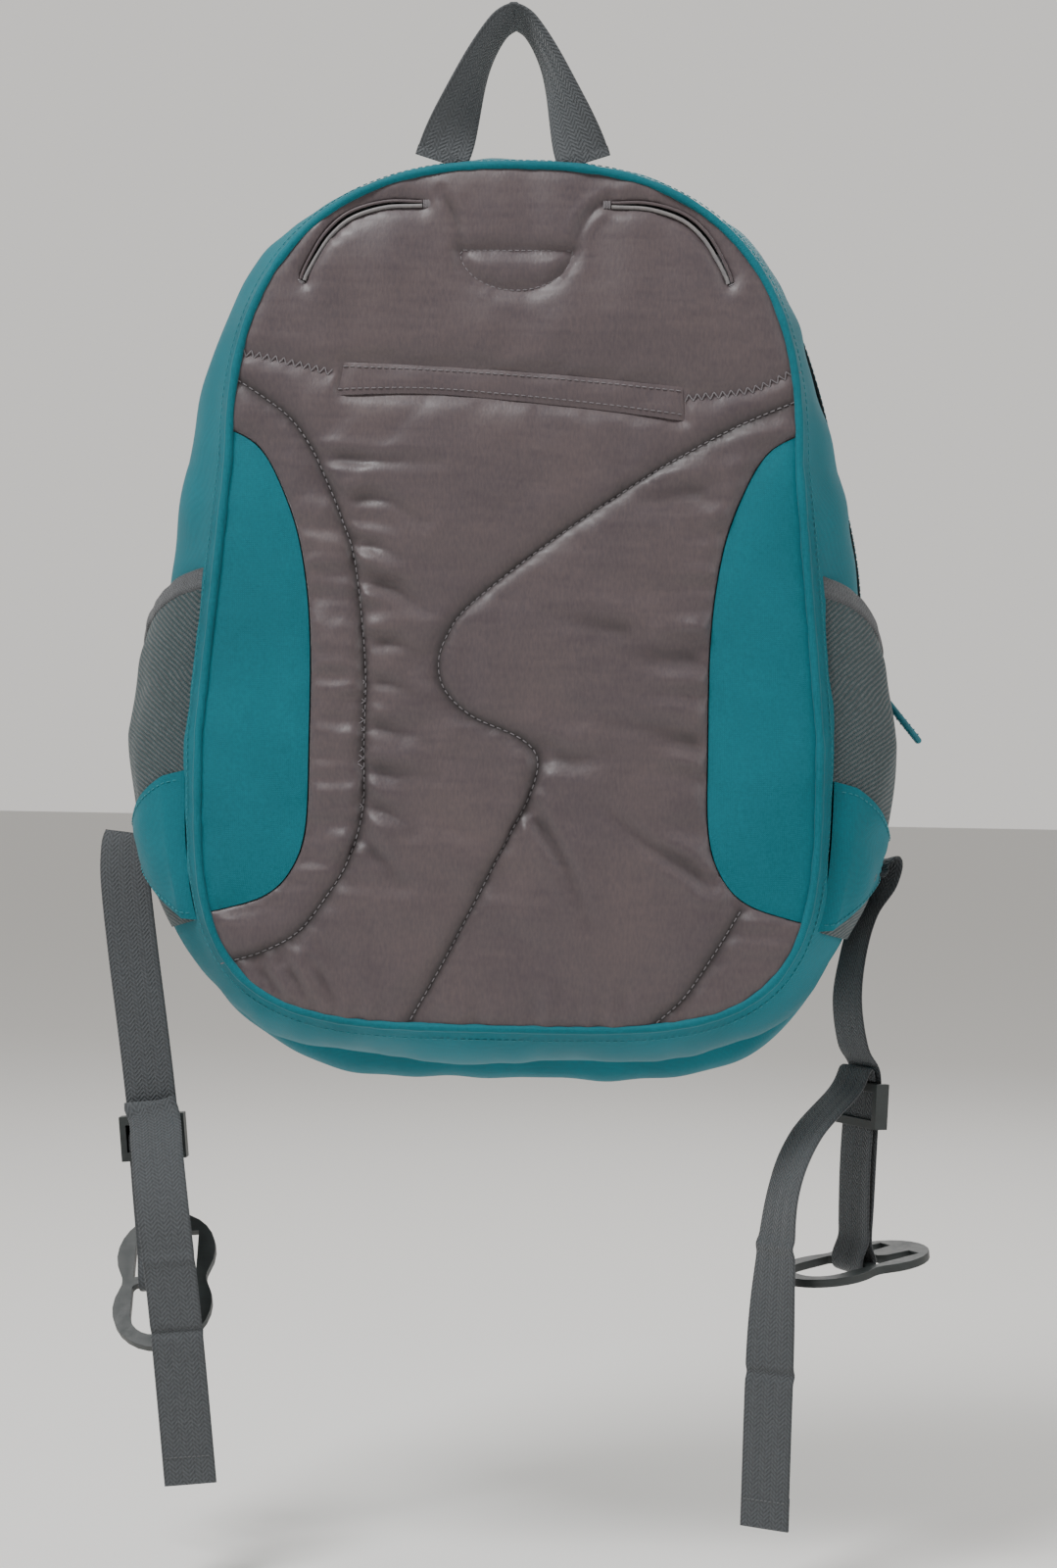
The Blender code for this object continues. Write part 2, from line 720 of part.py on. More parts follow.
def strap_webbing(frame, word):
    """Webbing from the wing, through the adjuster, round the plate's bar and back up."""
    bar = frame.bar_at
    turn = TURN_INSIDE + WEBBING / 2
    near = LAYER_OFFSET
    side = [(0.0, -near), (bar * 0.3, -near), (bar * 0.6, -near), (bar - 0.011, -near)]
    path = [frame.at(down, out) for down, out in side]
    path.append(frame.at(bar - 0.0045, -turn * 0.95))
    for i in range(7):
        a = pi * i / 6
        path.append(frame.at(bar + turn * sin(a), -turn * cos(a)))
    path.append(frame.at(bar - 0.0045, turn * 0.95))
    path.append(frame.at(bar - 0.011, near))
    path.append(frame.at(frame.adjuster_at + 0.001, near))
    ribbon(
        f"strap_webbing_{word}",
        path,
        [frame.across] * len(path),
        WEBBING_WIDTH,
        WEBBING,
        "webbing",
        frame.root,
    )


def strap_adjuster(frame, word):
    """Three-bar slider: front bars at its ends and a rear bar between them."""
    width, height, depth = ADJUSTER
    axes = (frame.across, frame.along, frame.out)
    centre = frame.at(frame.adjuster_at + height / 2)
    body = oriented_box(f"strap_adjuster_{word}", centre, axes, ADJUSTER, "hardware", centre)
    inner = WEBBING_WIDTH + 4 * GAP
    cut = oriented_box(
        f"cut_pass_{word}", centre, axes, (inner, height * 2, ADJUSTER_PASS), "hardware"
    )
    boolean(body, cutter(cut), "DIFFERENCE")
    front = frame.at(frame.adjuster_at + height / 2, depth / 2)
    window_width = inner - 2 * GAP
    size = (window_width, 0.0135, depth)
    cut = oriented_box(f"cut_front_{word}", front, axes, size, "hardware")
    boolean(body, cutter(cut), "DIFFERENCE")
    window = (height - 0.005) / 2
    for place, down in (("a", window / 2 - 0.001), ("b", height - window / 2 + 0.001)):
        rear = frame.at(frame.adjuster_at + down, -depth / 2)
        size = (window_width, window + 0.002, depth)
        cut = oriented_box(f"cut_rear_{place}_{word}", rear, axes, size, "hardware")
        boolean(body, cutter(cut), "DIFFERENCE")


def plate_outline():
    """Figure of eight: two round lobes joined by concave fillets at the waist."""
    reach = PLATE_LOBE + PLATE_FILLET
    fillet_x = sqrt(reach**2 - PLATE_CENTRE**2)
    loop = []
    for lobe in (1, -1):
        joint = Vector((fillet_x, -lobe * PLATE_CENTRE)).normalized()
        open_angle = joint.angle(Vector((1, 0)))
        steps = 18
        for i in range(steps + 1):
            a = -open_angle + (pi + 2 * open_angle) * i / steps
            x = PLATE_LOBE * cos(a) * lobe
            y = lobe * (PLATE_CENTRE + PLATE_LOBE * sin(a))
            loop.append((x, y))
        centre_x = -fillet_x * lobe
        half_turn = radians(90) - Vector((0, 1)).angle(Vector((fillet_x, PLATE_CENTRE)))
        for i in range(1, 4):
            a = lobe * (half_turn - 2 * half_turn * i / 4)
            x = centre_x + lobe * PLATE_FILLET * cos(a)
            loop.append((x, PLATE_FILLET * sin(a)))
    return loop


def d_slot(half, y0, y1, near_radius, far_radius):
    """A slot straight along the bar at y0 and round at y1."""
    loop = []
    corners = (
        (1, y1, far_radius, 0),
        (-1, y1, far_radius, 90),
        (-1, y0, near_radius, 180),
        (1, y0, near_radius, 270),
    )
    for sign, y, radius, start in corners:
        centre_x = sign * (half - radius)
        centre_y = y - radius if y == y1 else y + radius
        for i in range(7):
            a = radians(start + 15 * i)
            loop.append((centre_x + radius * cos(a), centre_y + radius * sin(a)))
    return loop


def flat_solid(name, loop, place, thickness, slot):
    """An outline in a strap's plate plane, extruded both ways from that plane."""
    bm = bmesh.new()
    base = [bm.verts.new(place(x, y, -thickness / 2)) for x, y in loop]
    top = [bm.verts.new(place(x, y, thickness / 2)) for x, y in loop]
    count = len(loop)
    bm.faces.new(base)
    bm.faces.new(top[::-1])
    for i in range(count):
        n = (i + 1) % count
        bm.faces.new((base[i], base[n], top[n], top[i]))
    return add_object(name, bm, slot)


def hook_plate(frame, word, tilt):
    """Two-lobed hook plate on the webbing's bar: a D hole one side, a tongue in a slot other."""
    forward = frame.along * cos(tilt) + frame.out * sin(tilt)
    face = frame.across.cross(forward).normalized()
    bar = frame.at(frame.bar_at)

    def place(x, y, z):
        return bar + frame.across * x + forward * y + face * z

    body = flat_solid(f"hook_plate_{word}", plate_outline(), place, PLATE_THICK, "hardware")
    half = 0.0155
    hole = d_slot(half, BAR_RADIUS, PLATE_CENTRE + PLATE_LOBE - 0.0075, 0.0025, 0.013)
    cut = flat_solid(f"cut_hole_{word}", hole, place, 0.02, "hardware")
    boolean(body, cutter(cut), "DIFFERENCE")
    tongue = 0.0065
    near, far = -BAR_RADIUS - 0.010, -PLATE_CENTRE - PLATE_LOBE + 0.012
    slot = [
        (-half, -BAR_RADIUS),
        (-half, far),
        (-tongue - 0.001, far),
        (-tongue, near - 0.004),
        (-tongue + 0.003, near),
        (tongue - 0.003, near),
        (tongue, near - 0.004),
        (tongue + 0.001, far),
        (half, far),
        (half, -BAR_RADIUS),
    ]
    cut = flat_solid(f"cut_tongue_{word}", slot, place, 0.02, "hardware")
    boolean(body, cutter(cut), "DIFFERENCE")
    set_origin(body, bar)


def strap_tail(frame, word, reach, faces):
    """Free end of the webbing: over the adjuster's top and down in front of it."""
    start = frame.adjuster_at
    path = [frame.at(start - down, out) for down, out in ((0.0012, 0.0026), (0.0032, 0.0027))]
    path += [frame.at(start - 0.0058, 0.0033), frame.at(start - 0.0058, 0.0052)]
    path += [frame.at(start + down, out, across) for down, out, across in reach]
    path = smooth_path(path, 3)
    across = []
    for i in range(len(path)):
        k = max(0.0, min(1.0, (i / (len(path) - 1) - 0.35) / 0.35))
        across.append(frame.across * (1 - k) + Vector(faces) * k)
    pivot = frame.at(start - 0.005, 0.003)
    ribbon(f"strap_tail_{word}", path, across, WEBBING_WIDTH, WEBBING, "webbing", pivot)


def lower_straps():
    left = StrapFrame(
        (-0.1885, 0.0545, -0.3815), (0.0950, 0, -0.9955), (0, -1, 0), 0.140, 0.222
    )
    turn = radians(57)
    right = StrapFrame(
        (0.1760, 0.0580, -0.3960), (-0.036, 0, -1), (-sin(turn), -cos(turn), 0), 0.101, 0.190
    )
    left_reach = [
        (0.002, 0.0100, 0.0030),
        (0.018, 0.0290, 0.0065),
        (0.044, 0.0450, 0.0102),
        (0.080, 0.0478, 0.0122),
        (0.120, 0.0485, 0.0132),
        (0.1715, 0.0490, 0.0140),
    ]
    right_reach = [
        (0.005, 0.0120, 0.001),
        (0.026, 0.0360, 0.007),
        (0.052, 0.0492, 0.0122),
        (0.090, 0.0500, 0.0122),
        (0.120, 0.0505, 0.0124),
        (0.211, 0.0520, 0.0125),
    ]
    strap_webbing(left, "left")
    strap_webbing(right, "right")
    strap_adjuster(left, "left")
    strap_adjuster(right, "right")
    hook_plate(left, "left", radians(45))
    hook_plate(right, "right", radians(80))
    strap_tail(left, "left", left_reach, left.across)
    strap_tail(right, "right", right_reach, (1, 0, 0))


def main():
    clear_scene()
    back_panel()
    main_shell()
    main_zip()
    front_pocket()
    for side, word in ((-1, "left"), (1, "right")):
        side_pocket(side, word)
        strap_wing(side, word)
        shoulder_strap(side, word)
    haul_loop()
    zip_sliders()
    lower_straps()


main()
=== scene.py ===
"""Looks of a hanging daypack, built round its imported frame. Metres, +Z up, wearer's side at -Y."""

import json
from math import cos, pi, radians, sin, sqrt

import bmesh
import bpy
import numpy as np
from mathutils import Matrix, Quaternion, Vector
from mathutils.geometry import delaunay_2d_cdt


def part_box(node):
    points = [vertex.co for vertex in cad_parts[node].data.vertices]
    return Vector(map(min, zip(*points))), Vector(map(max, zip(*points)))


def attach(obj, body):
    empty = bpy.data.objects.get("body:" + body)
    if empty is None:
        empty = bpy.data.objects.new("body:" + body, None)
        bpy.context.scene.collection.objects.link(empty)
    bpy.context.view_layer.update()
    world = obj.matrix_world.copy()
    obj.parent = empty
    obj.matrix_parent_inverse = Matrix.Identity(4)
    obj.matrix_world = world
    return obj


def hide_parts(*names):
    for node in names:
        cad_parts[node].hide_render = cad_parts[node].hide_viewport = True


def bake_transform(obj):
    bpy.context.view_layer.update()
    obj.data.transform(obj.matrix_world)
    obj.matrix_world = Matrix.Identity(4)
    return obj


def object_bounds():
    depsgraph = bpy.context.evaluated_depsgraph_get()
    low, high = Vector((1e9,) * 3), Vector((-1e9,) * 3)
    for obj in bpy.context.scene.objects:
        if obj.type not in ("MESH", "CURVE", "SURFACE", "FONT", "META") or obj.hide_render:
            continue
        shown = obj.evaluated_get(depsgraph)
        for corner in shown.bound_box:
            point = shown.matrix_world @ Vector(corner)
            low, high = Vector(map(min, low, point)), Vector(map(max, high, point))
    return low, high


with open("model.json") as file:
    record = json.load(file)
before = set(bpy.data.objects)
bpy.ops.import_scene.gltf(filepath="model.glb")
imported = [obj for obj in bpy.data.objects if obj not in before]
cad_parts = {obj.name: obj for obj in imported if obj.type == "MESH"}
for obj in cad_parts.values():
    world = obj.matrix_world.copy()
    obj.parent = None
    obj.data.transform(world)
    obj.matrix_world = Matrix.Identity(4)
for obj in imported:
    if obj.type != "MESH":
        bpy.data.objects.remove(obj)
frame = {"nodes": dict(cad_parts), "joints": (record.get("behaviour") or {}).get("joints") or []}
cad_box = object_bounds()
NODES = frame["nodes"]
JOINTS = {joint["name"]: joint for joint in frame["joints"]}

# ---- camera -------------------------------------------------------------------------------

CAMERA_DISTANCE = 1.4
CAMERA_TURN = radians(3.0)  # the camera stands a little to the pack's right
CAMERA_ROLL = radians(1.0)
AIM = Vector((0.0099, 0.0, -0.3556))
VIEW_HEIGHT = 0.736  # what the frame takes in at the back panel


def linked(name, data):
    """A new object holding data, linked into the scene."""
    obj = bpy.data.objects.new(name, data)
    bpy.context.scene.collection.objects.link(obj)
    return obj


def add_camera():
    data = bpy.data.cameras.new("camera")
    camera = linked("camera", data)
    back = Vector((sin(CAMERA_TURN), -cos(CAMERA_TURN), 0.0))
    camera.location = AIM + back * CAMERA_DISTANCE
    level = (-back).to_track_quat("-Z", "Y")
    camera.rotation_euler = (level @ Quaternion((0, 0, 1), CAMERA_ROLL)).to_euler()
    data.sensor_width = 36.0
    data.lens = data.sensor_width * CAMERA_DISTANCE / VIEW_HEIGHT
    bpy.context.scene.camera = camera


add_camera()

# ---- frame sizes --------------------------------------------------------------------------

PAD_LOW, PAD_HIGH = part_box("back_panel_pad")
SEAM_INSET = 0.0024  # the pad's edge stands this far inside the seam outline
TOP_Z = PAD_HIGH.z + SEAM_INSET
BOTTOM_Z = PAD_LOW.z - SEAM_INSET
SIDE_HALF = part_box("side_insert_right")[1].x + SEAM_INSET
SHOULDER_HALF = SIDE_HALF * 0.918
SHOULDER_Z = TOP_Z - 0.139
SIDE_Z = TOP_Z - 0.270
DOME_POWER = 2.5
BASE_POWER = 4.0
BASE_TUCK = 0.35  # share of its side growth the shell loses towards the base
TUCK_RUN = 8.0  # stations over which it loses it
# Shares of the side growth on the slack upper part and lower down, for each side.
LEFT_SHARES = (0.68, 1.0)
RIGHT_SHARES = (0.30, 0.90)
SLACK_HIGH, SLACK_LOW = -0.130, -0.260  # heights between which the shell fills out
DOME, SIDE, BASE = 12, 6, 12
HALF = DOME + SIDE + BASE
ZIP_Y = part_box("rear_gusset")[1].y
FRONT_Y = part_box("flap_panel")[1].y
POCKET_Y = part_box("pocket_face")[1].y
POCKET_TOP_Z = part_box("pocket_zip_rear")[1].z
FLAP_CUT = DOME + 5.0
ZIP_END = DOME + 5.9

# ---- geometry helpers ---------------------------------------------------------------------

WAVES = 12  # plane waves in one ripple


def catmull(points, per_span):
    """Points along a Catmull-Rom curve through the given ones."""
    points = np.asarray(points, float)
    ends = np.vstack([2 * points[0] - points[1], points, 2 * points[-1] - points[-2]])
    u = (np.arange(per_span) / per_span)[:, None]
    spans = []
    for a, b, c, d in zip(ends, ends[1:], ends[2:], ends[3:]):
        bend = (2 * a - 5 * b + 4 * c - d) * u**2 + (3 * b - a - 3 * c + d) * u**3
        spans.append(0.5 * (2 * b + (c - a) * u + bend))
    return np.vstack(spans + [points[-1:]])


def travelled(path):
    """Distance along a path at each of its points."""
    return np.r_[0, np.cumsum(np.linalg.norm(np.diff(path, axis=0), axis=1))]


def resample(path, spacing):
    """The same path with points at equal distances."""
    path = np.asarray(path, float)
    reach = travelled(path)
    at = np.linspace(0, reach[-1], max(2, round(reach[-1] / spacing) + 1))
    return np.column_stack([np.interp(at, reach, column) for column in path.T])


def standing(flat, y):
    """Points in space from points in x and z, at depth y."""
    return np.insert(flat, 1, y, axis=1)


def curve(points, spacing):
    return resample(catmull(points, 12), spacing)


def unit(vectors):
    return vectors / np.maximum(np.linalg.norm(vectors, axis=-1, keepdims=True), 1e-12)


def directions(path):
    return unit(np.gradient(path, axis=0))


def ripple(points, seed, wavelength, stretch=(1, 1, 1)):
    """Smooth random relief, mostly within -1 to 1, at points in space."""
    rng = np.random.default_rng(seed)
    points = np.asarray(points, float) / np.array(stretch, float)
    total = np.zeros(points.shape[:-1])
    for _ in range(WAVES):
        heading = unit(rng.normal(size=3))
        turns = 2 * pi / (wavelength * rng.uniform(0.7, 1.5))
        total += np.sin(points @ heading * turns + rng.uniform(0, 2 * pi))
    return total / sqrt(WAVES) * 0.8


def inside(points, loop):
    """Which points lie inside a closed loop in x and z."""
    x, z = points[:, 0], points[:, 1]
    found = np.zeros(len(points), bool)
    for (x0, z0), (x1, z1) in zip(loop, np.roll(loop, -1, axis=0)):
        if z0 == z1:
            continue
        crosses = (z0 > z) != (z1 > z)
        found ^= crosses & (x < (x1 - x0) * (z - z0) / (z1 - z0) + x0)
    return found


def distance(points, line, closed=False):
    """Distance from points in x and z to a line of points."""
    line = np.asarray(line, float)
    ends = np.roll(line, -1, axis=0) if closed else line[1:]
    starts = line if closed else line[:-1]
    nearest = np.full(len(points), np.inf)
    for a, b in zip(starts, ends):
        run = b - a
        k = np.clip(((points - a) @ run) / max(run @ run, 1e-12), 0, 1)
        gap = np.linalg.norm(points - a - k[:, None] * run, axis=1)
        nearest = np.minimum(nearest, gap)
    return nearest


def smoothstep(x):
    x = np.clip(x, 0, 1)
    return x * x * (3 - 2 * x)


# ---- pieces -------------------------------------------------------------------------------

TUBE_SIDES = 8
THREAD_SIDES = 6
STITCH_RINGS = ((0.0, 0.35), (0.15, 0.9), (0.85, 0.9), (1.0, 0.35))  # share along, share of radius


def colour(obj, finish):
    """Give a finished piece its material."""
    material, slot = FINISH[finish]
    obj.data.materials.clear()
    obj.data.materials.append(material)


def settle(obj, finish, body, stands_for=()):
    """Give a finished piece its looks, its body and the nodes it stands for."""
    colour(obj, finish)
    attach(obj, body)
    if stands_for:
        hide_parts(*stands_for)
    return obj


def new_object(name, verts, faces, weave=None, sharp=50):
    """A smooth-shaded mesh object with faces out and, on cloth, a place in the weave."""
    mesh = bpy.data.meshes.new(name)
    mesh.from_pydata(np.asarray(verts, float).tolist(), [], faces)
    bm = bmesh.new()
    bm.from_mesh(mesh)
    bmesh.ops.recalc_face_normals(bm, faces=bm.faces)
    bm.to_mesh(mesh)
    bm.free()
    mesh.shade_smooth()
    mesh.set_sharp_from_angle(angle=radians(sharp))
    if weave is not None:
        place = mesh.attributes.new("weave", "FLOAT_VECTOR", "POINT")
        place.data.foreach_set("vector", np.asarray(weave, np.float32).ravel())
    return linked(name, mesh)


def grid_quads(rows, columns, closed, start=0):
    i = np.arange(rows if closed else rows - 1)[:, None]
    j = np.arange(columns - 1)[None, :]
    n = (i + 1) % rows
    quads = [i * columns + j, n * columns + j, n * columns + j + 1, i * columns + j + 1]
    return (np.stack(quads, axis=-1).reshape(-1, 4) + start).tolist()


def grid_lengths(points):
    """Distance along the rows and along the columns of a grid, for the weave."""
    across = np.cumsum(np.linalg.norm(np.diff(points, axis=1), axis=2), axis=1)
    along = np.cumsum(np.linalg.norm(np.diff(points, axis=0), axis=2), axis=0)
    across = np.pad(across, ((0, 0), (1, 0)))
    along = np.pad(along, ((1, 0), (0, 0)))
    middle = across[:, -1:] / 2
    return np.stack([across - middle, along, np.zeros_like(along)], axis=-1)


def grid_solid(name, outer, thickness, closed=False, inner=None):
    """A closed sheet from a grid of points; its thickness goes against the grid's normals."""
    rows, columns = outer.shape[:2]
    if inner is None:
        wrapped = np.concatenate([outer[-1:], outer, outer[:1]]) if closed else outer
        along = np.gradient(wrapped, axis=0)
        along = along[1:-1] if closed else along
        normal = unit(np.cross(along, np.gradient(outer, axis=1)))
        inner = outer - normal * thickness
    size = rows * columns
    faces = grid_quads(rows, columns, closed) + grid_quads(rows, columns, closed, size)
    spans = range(rows if closed else rows - 1)
    for j in (0, columns - 1):
        for i in spans:
            a, b = i * columns + j, (i + 1) % rows * columns + j
            faces.append([a, b, b + size, a + size])
    if not closed:
        for i in (0, rows - 1):
            for j in range(columns - 1):
                a = i * columns + j
                faces.append([a, a + 1, a + 1 + size, a + size])
    verts = np.concatenate([outer.reshape(-1, 3), inner.reshape(-1, 3)])
    weave = np.tile(grid_lengths(outer).reshape(-1, 3), (2, 1))
    return new_object(name, verts, faces, weave)


def ring_faces(count, sides, closed=False):
    """Faces of a row of rings, with a cap at each end of an open one."""
    faces = []
    for i in range(count if closed else count - 1):
        n = (i + 1) % count
        for j in range(sides):
            k = (j + 1) % sides
            faces.append([i * sides + j, n * sides + j, n * sides + k, i * sides + k])
    if not closed:
        faces.append(list(range(sides)))
        faces.append(list(range((count - 1) * sides, count * sides))[::-1])
    return faces


def tube(name, path, radius, closed=False):
    """A round bead along a path; radius is one number or one for each point."""
    path = np.asarray(path, float)
    radius = np.broadcast_to(radius, len(path))
    ahead = np.roll(path, -1, 0) - np.roll(path, 1, 0) if closed else np.gradient(path, axis=0)
    ahead = unit(ahead)
    guide = np.array([0.0, 1.0, 0.0])
    first = unit(np.cross(ahead, guide) + 1e-9)
    second = np.cross(first, ahead)
    turn = 2 * pi * np.arange(TUBE_SIDES) / TUBE_SIDES
    ring = first[:, None] * np.cos(turn)[:, None] + second[:, None] * np.sin(turn)[:, None]
    verts = (path[:, None] + ring * radius[:, None, None]).reshape(-1, 3)
    weave = np.stack(np.broadcast_arrays(turn * 0.001, travelled(path)[:, None], 0.0), axis=-1)
    return new_object(name, verts, ring_faces(len(path), TUBE_SIDES, closed), weave.reshape(-1, 3), 60)


def threads(name, rows, radius):
    """Short rounded stitches; each row holds the places they start at and those they end at."""
    starts, ends = (np.vstack(part) for part in zip(*rows))
    run = ends - starts
    heading = unit(run)
    guide = np.where(np.abs(heading[:, 1:2]) > 0.9, [[1.0, 0, 0]], [[0, 1.0, 0]])
    first = unit(np.cross(heading, guide))
    second = np.cross(heading, first)
    verts = []
    for share, size in STITCH_RINGS:
        for a in 2 * pi * np.arange(THREAD_SIDES) / THREAD_SIDES:
            verts.append(starts + run * share + (first * cos(a) + second * sin(a)) * radius * size)
    verts = np.stack(verts, axis=1)
    count = verts.shape[1]
    block = np.array(ring_faces(len(STITCH_RINGS), THREAD_SIDES)[:-2])
    caps = np.array([range(THREAD_SIDES), range(count - THREAD_SIDES, count)])
    faces = []
    for i in range(len(starts)):
        faces += (block + i * count).tolist() + (caps + i * count).tolist()
    return new_object(name, verts.reshape(-1, 3), faces, None, 70)


def run_stitch(path, pitch, share=0.68):
    """Starts and ends of straight stitches along a path in space."""
    path = resample(path, pitch)
    return path[:-1], path[:-1] + (path[1:] - path[:-1]) * share


def zigzag_stitch(path, pitch, width):
    """Starts and ends of zigzag stitches along a path that lies on the wearer's side."""
    path = resample(path, pitch)
    aside = unit(np.cross(directions(path), (0.0, -1.0, 0.0)))
    signs = np.where(np.arange(len(path)) % 2 == 0, 1.0, -1.0)[:, None]
    points = path + aside * signs * width / 2
    return points[:-1], points[1:]


# ---- materials ----------------------------------------------------------------------------


class Paint:
    """A Principled material and short calls for the nodes that feed it."""

    def __init__(self, name, rough, metallic=0.0, sheen=0.0, specular=0.5):
        self.material = bpy.data.materials.new(name)
        self.material.use_nodes = True
        self.tree = self.material.node_tree
        self.shader = self.tree.nodes["Principled BSDF"]
        self.shader.inputs["Roughness"].default_value = rough
        self.shader.inputs["Metallic"].default_value = metallic
        self.shader.inputs["Specular IOR Level"].default_value = specular
        self.shader.inputs["Sheen Weight"].default_value = sheen
        self.shader.inputs["Sheen Roughness"].default_value = 0.5

    def node(self, kind, settings=None, **inputs):
        made = self.tree.nodes.new("ShaderNode" + kind)
        for key, value in (settings or {}).items():
            setattr(made, key, value)
        for key, value in inputs.items():
            self.feed(made.inputs[key.replace("_", " ")], value)
        return made

    def feed(self, socket, value):
        if isinstance(value, bpy.types.NodeSocket):
            self.tree.links.new(value, socket)
        else:
            socket.default_value = value

    def math(self, operation, a, b=0.0):
        made = self.node("Math", {"operation": operation})
        self.feed(made.inputs[0], a)
        self.feed(made.inputs[1], b)
        return made.outputs[0]

    def total(self, *parts):
        """Sum of values, each times its weight."""
        values = [value if weight == 1 else self.math("MULTIPLY", value, weight) for value, weight in parts]
        found = values[0]
        for value in values[1:]:
            found = self.math("ADD", found, value)
        return found

    def wave(self, value, length):
        return self.math("SINE", self.math("MULTIPLY", value, 2 * pi / length))

    def attribute(self, name, output):
        return self.node("Attribute", {"attribute_name": name}).outputs[output]

    def woven_place(self):
        """Places across and along the cloth."""
        return self.node("SeparateXYZ", Vector=self.attribute("weave", "Vector")).outputs[:2]

    def place(self):
        return self.node("TexCoord").outputs["Object"]

    def stretched(self, scale):
        return self.node("Mapping", Vector=self.place(), Scale=scale).outputs[0]

    def noise(self, size, detail=2.0, vector=None, rough=0.5):
        source = self.place() if vector is None else vector
        made = self.node("TexNoise", Vector=source, Scale=1 / size, Detail=detail, Roughness=rough)
        return made.outputs["Fac"]

    def ramp(self, value, low, high, to_low=0.0, to_high=1.0):
        made = self.node("MapRange", Value=value)
        for key, number in (("From Min", low), ("From Max", high), ("To Min", to_low), ("To Max", to_high)):
            made.inputs[key].default_value = number
        return made.outputs[0]

    def mix(self, share, a, b):
        made = self.node("Mix", {"data_type": "RGBA"})
        self.feed(made.inputs[0], share)
        self.feed(made.inputs[6], a)
        self.feed(made.inputs[7], b)
        return made.outputs[2]

    def relief(self, height, depth, strength=1.0, under=None):
        made = self.node("Bump", Height=height, Distance=depth, Strength=strength)
        if under is not None:
            self.feed(made.inputs["Normal"], under)
        return made.outputs[0]

    def finish(self, colour, normal=None, rough=None):
        self.feed(self.shader.inputs["Base Color"], colour)
        if normal is not None:
            self.feed(self.shader.inputs["Normal"], normal)
        if rough is not None:
            self.feed(self.shader.inputs["Roughness"], rough)
        return self.material


def shade(colour, factor):
    return (*(min(1.0, c * factor) for c in colour), 1.0)


def woven(name, colour, rough, thread, depth, sheen=0.15, specular=0.3):
    """Plain woven cloth: threads over and under in all three directions, with uneven dye and painted shade
    where the threads dip under.
    """
    paint = Paint(name, rough, sheen=sheen, specular=specular)
    split = paint.node("SeparateXYZ", Vector=paint.place())
    waves = []
    for axis in range(3):
        phase = paint.total((split.outputs[axis], 2 * pi / thread), (paint.noise(0.004, 1.0), 1.4))
        waves.append(paint.math("SINE", phase))
    crossings = [(paint.math("MULTIPLY", waves[a], waves[b]), 1) for a, b in ((0, 2), (1, 2), (0, 1))]
    height = paint.ramp(paint.total(*crossings), -1.5, 1.5)
    grain = paint.noise(thread * 1.3, 3.0)
    # Tone: uneven dye from the noise, plus painted shade from the weave's height where the threads dip
    # under.
    tone = paint.total((grain, 0.5), (paint.noise(0.06, 3.0), 0.5), (height, 0.18))
    base = paint.mix(paint.ramp(tone, 0.30, 0.85), shade(colour, 0.72), shade(colour, 1.28))
    rough_map = paint.ramp(grain, 0.3, 0.7, rough - 0.06, rough + 0.06)
    under = paint.relief(paint.noise(0.0035, 2.0), 0.00015, 0.4)
    return paint.finish(base, paint.relief(height, depth, 0.6, under), rough_map)


def satin(name, colour, rough):
    """Shiny lining satin: fine floats along z, streaks across, a soft two-tone sheen, and painted shade
    down its seams and folds.
    """
    paint = Paint(name, rough, sheen=0.25, specular=0.45)
    floats = paint.noise(0.0011, 2.0, paint.stretched((1.0, 1.0, 0.35)))
    slubs = paint.noise(0.0030, 3.0, paint.stretched((0.12, 1.0, 1.0)))
    tone = paint.total((floats, 0.45), (slubs, 0.2), (paint.noise(0.045, 3.0), 0.35))
    share = paint.ramp(tone, 0.36, 0.66)
    cool = (colour[0] * 0.80, colour[1] * 0.80, colour[2] * 0.86, 1.0)
    warm = (colour[0] * 1.20, colour[1] * 1.18, colour[2] * 1.13, 1.0)
    base = paint.mix(share, cool, warm)
    # Painted shade: the furrow attribute paints the satin near-black along its seams and down its long
    # folds.
    base = paint.mix(paint.ramp(paint.attribute("furrow", "Fac"), 0.0, 1.0), base, shade(colour, 0.16))
    under = paint.relief(paint.noise(0.006, 3.0), 0.0004, 0.4)
    normal = paint.relief(floats, 0.00020, 0.5, under)
    return paint.finish(base, normal, paint.ramp(slubs, 0.3, 0.7, rough - 0.05, rough + 0.09))


def ribbed(name, colour, rough, pitch, edge, width=0.025):
    """Webbing: chevron ribs across the width, painted shade in the furrows between them, firm edges and
    light fuzz.
    """
    paint = Paint(name, rough, sheen=0.2, specular=0.3)
    across, along = paint.woven_place()
    chevron = paint.math("PINGPONG", paint.math("ADD", across, 1.0), width / 8)
    rib = paint.ramp(paint.wave(paint.math("ADD", along, chevron), pitch), -1.0, 1.0)
    cord = paint.ramp(paint.wave(across, width / 16), -1.0, 1.0)
    height = paint.total((rib, 1), (cord, 0.5))
    # Tone: painted shade from the ribs' height, darker in their furrows, plus uneven fibre noise.
    tone = paint.total((height, 0.35), (paint.noise(0.0016, 3.0), 0.6))
    base = paint.mix(paint.ramp(tone, 0.25, 0.85), shade(colour, 0.70), shade(colour, 1.30))
    selvedge = paint.ramp(paint.math("ABSOLUTE", across), width / 2 - edge, width / 2 - edge * 0.6)
    base = paint.mix(paint.math("MULTIPLY", selvedge, 0.35), base, shade(colour, 0.62))
    under = paint.relief(paint.noise(0.02, 2.0), 0.0006, 0.4)
    return paint.finish(base, paint.relief(height, 0.0004, 0.7, under))


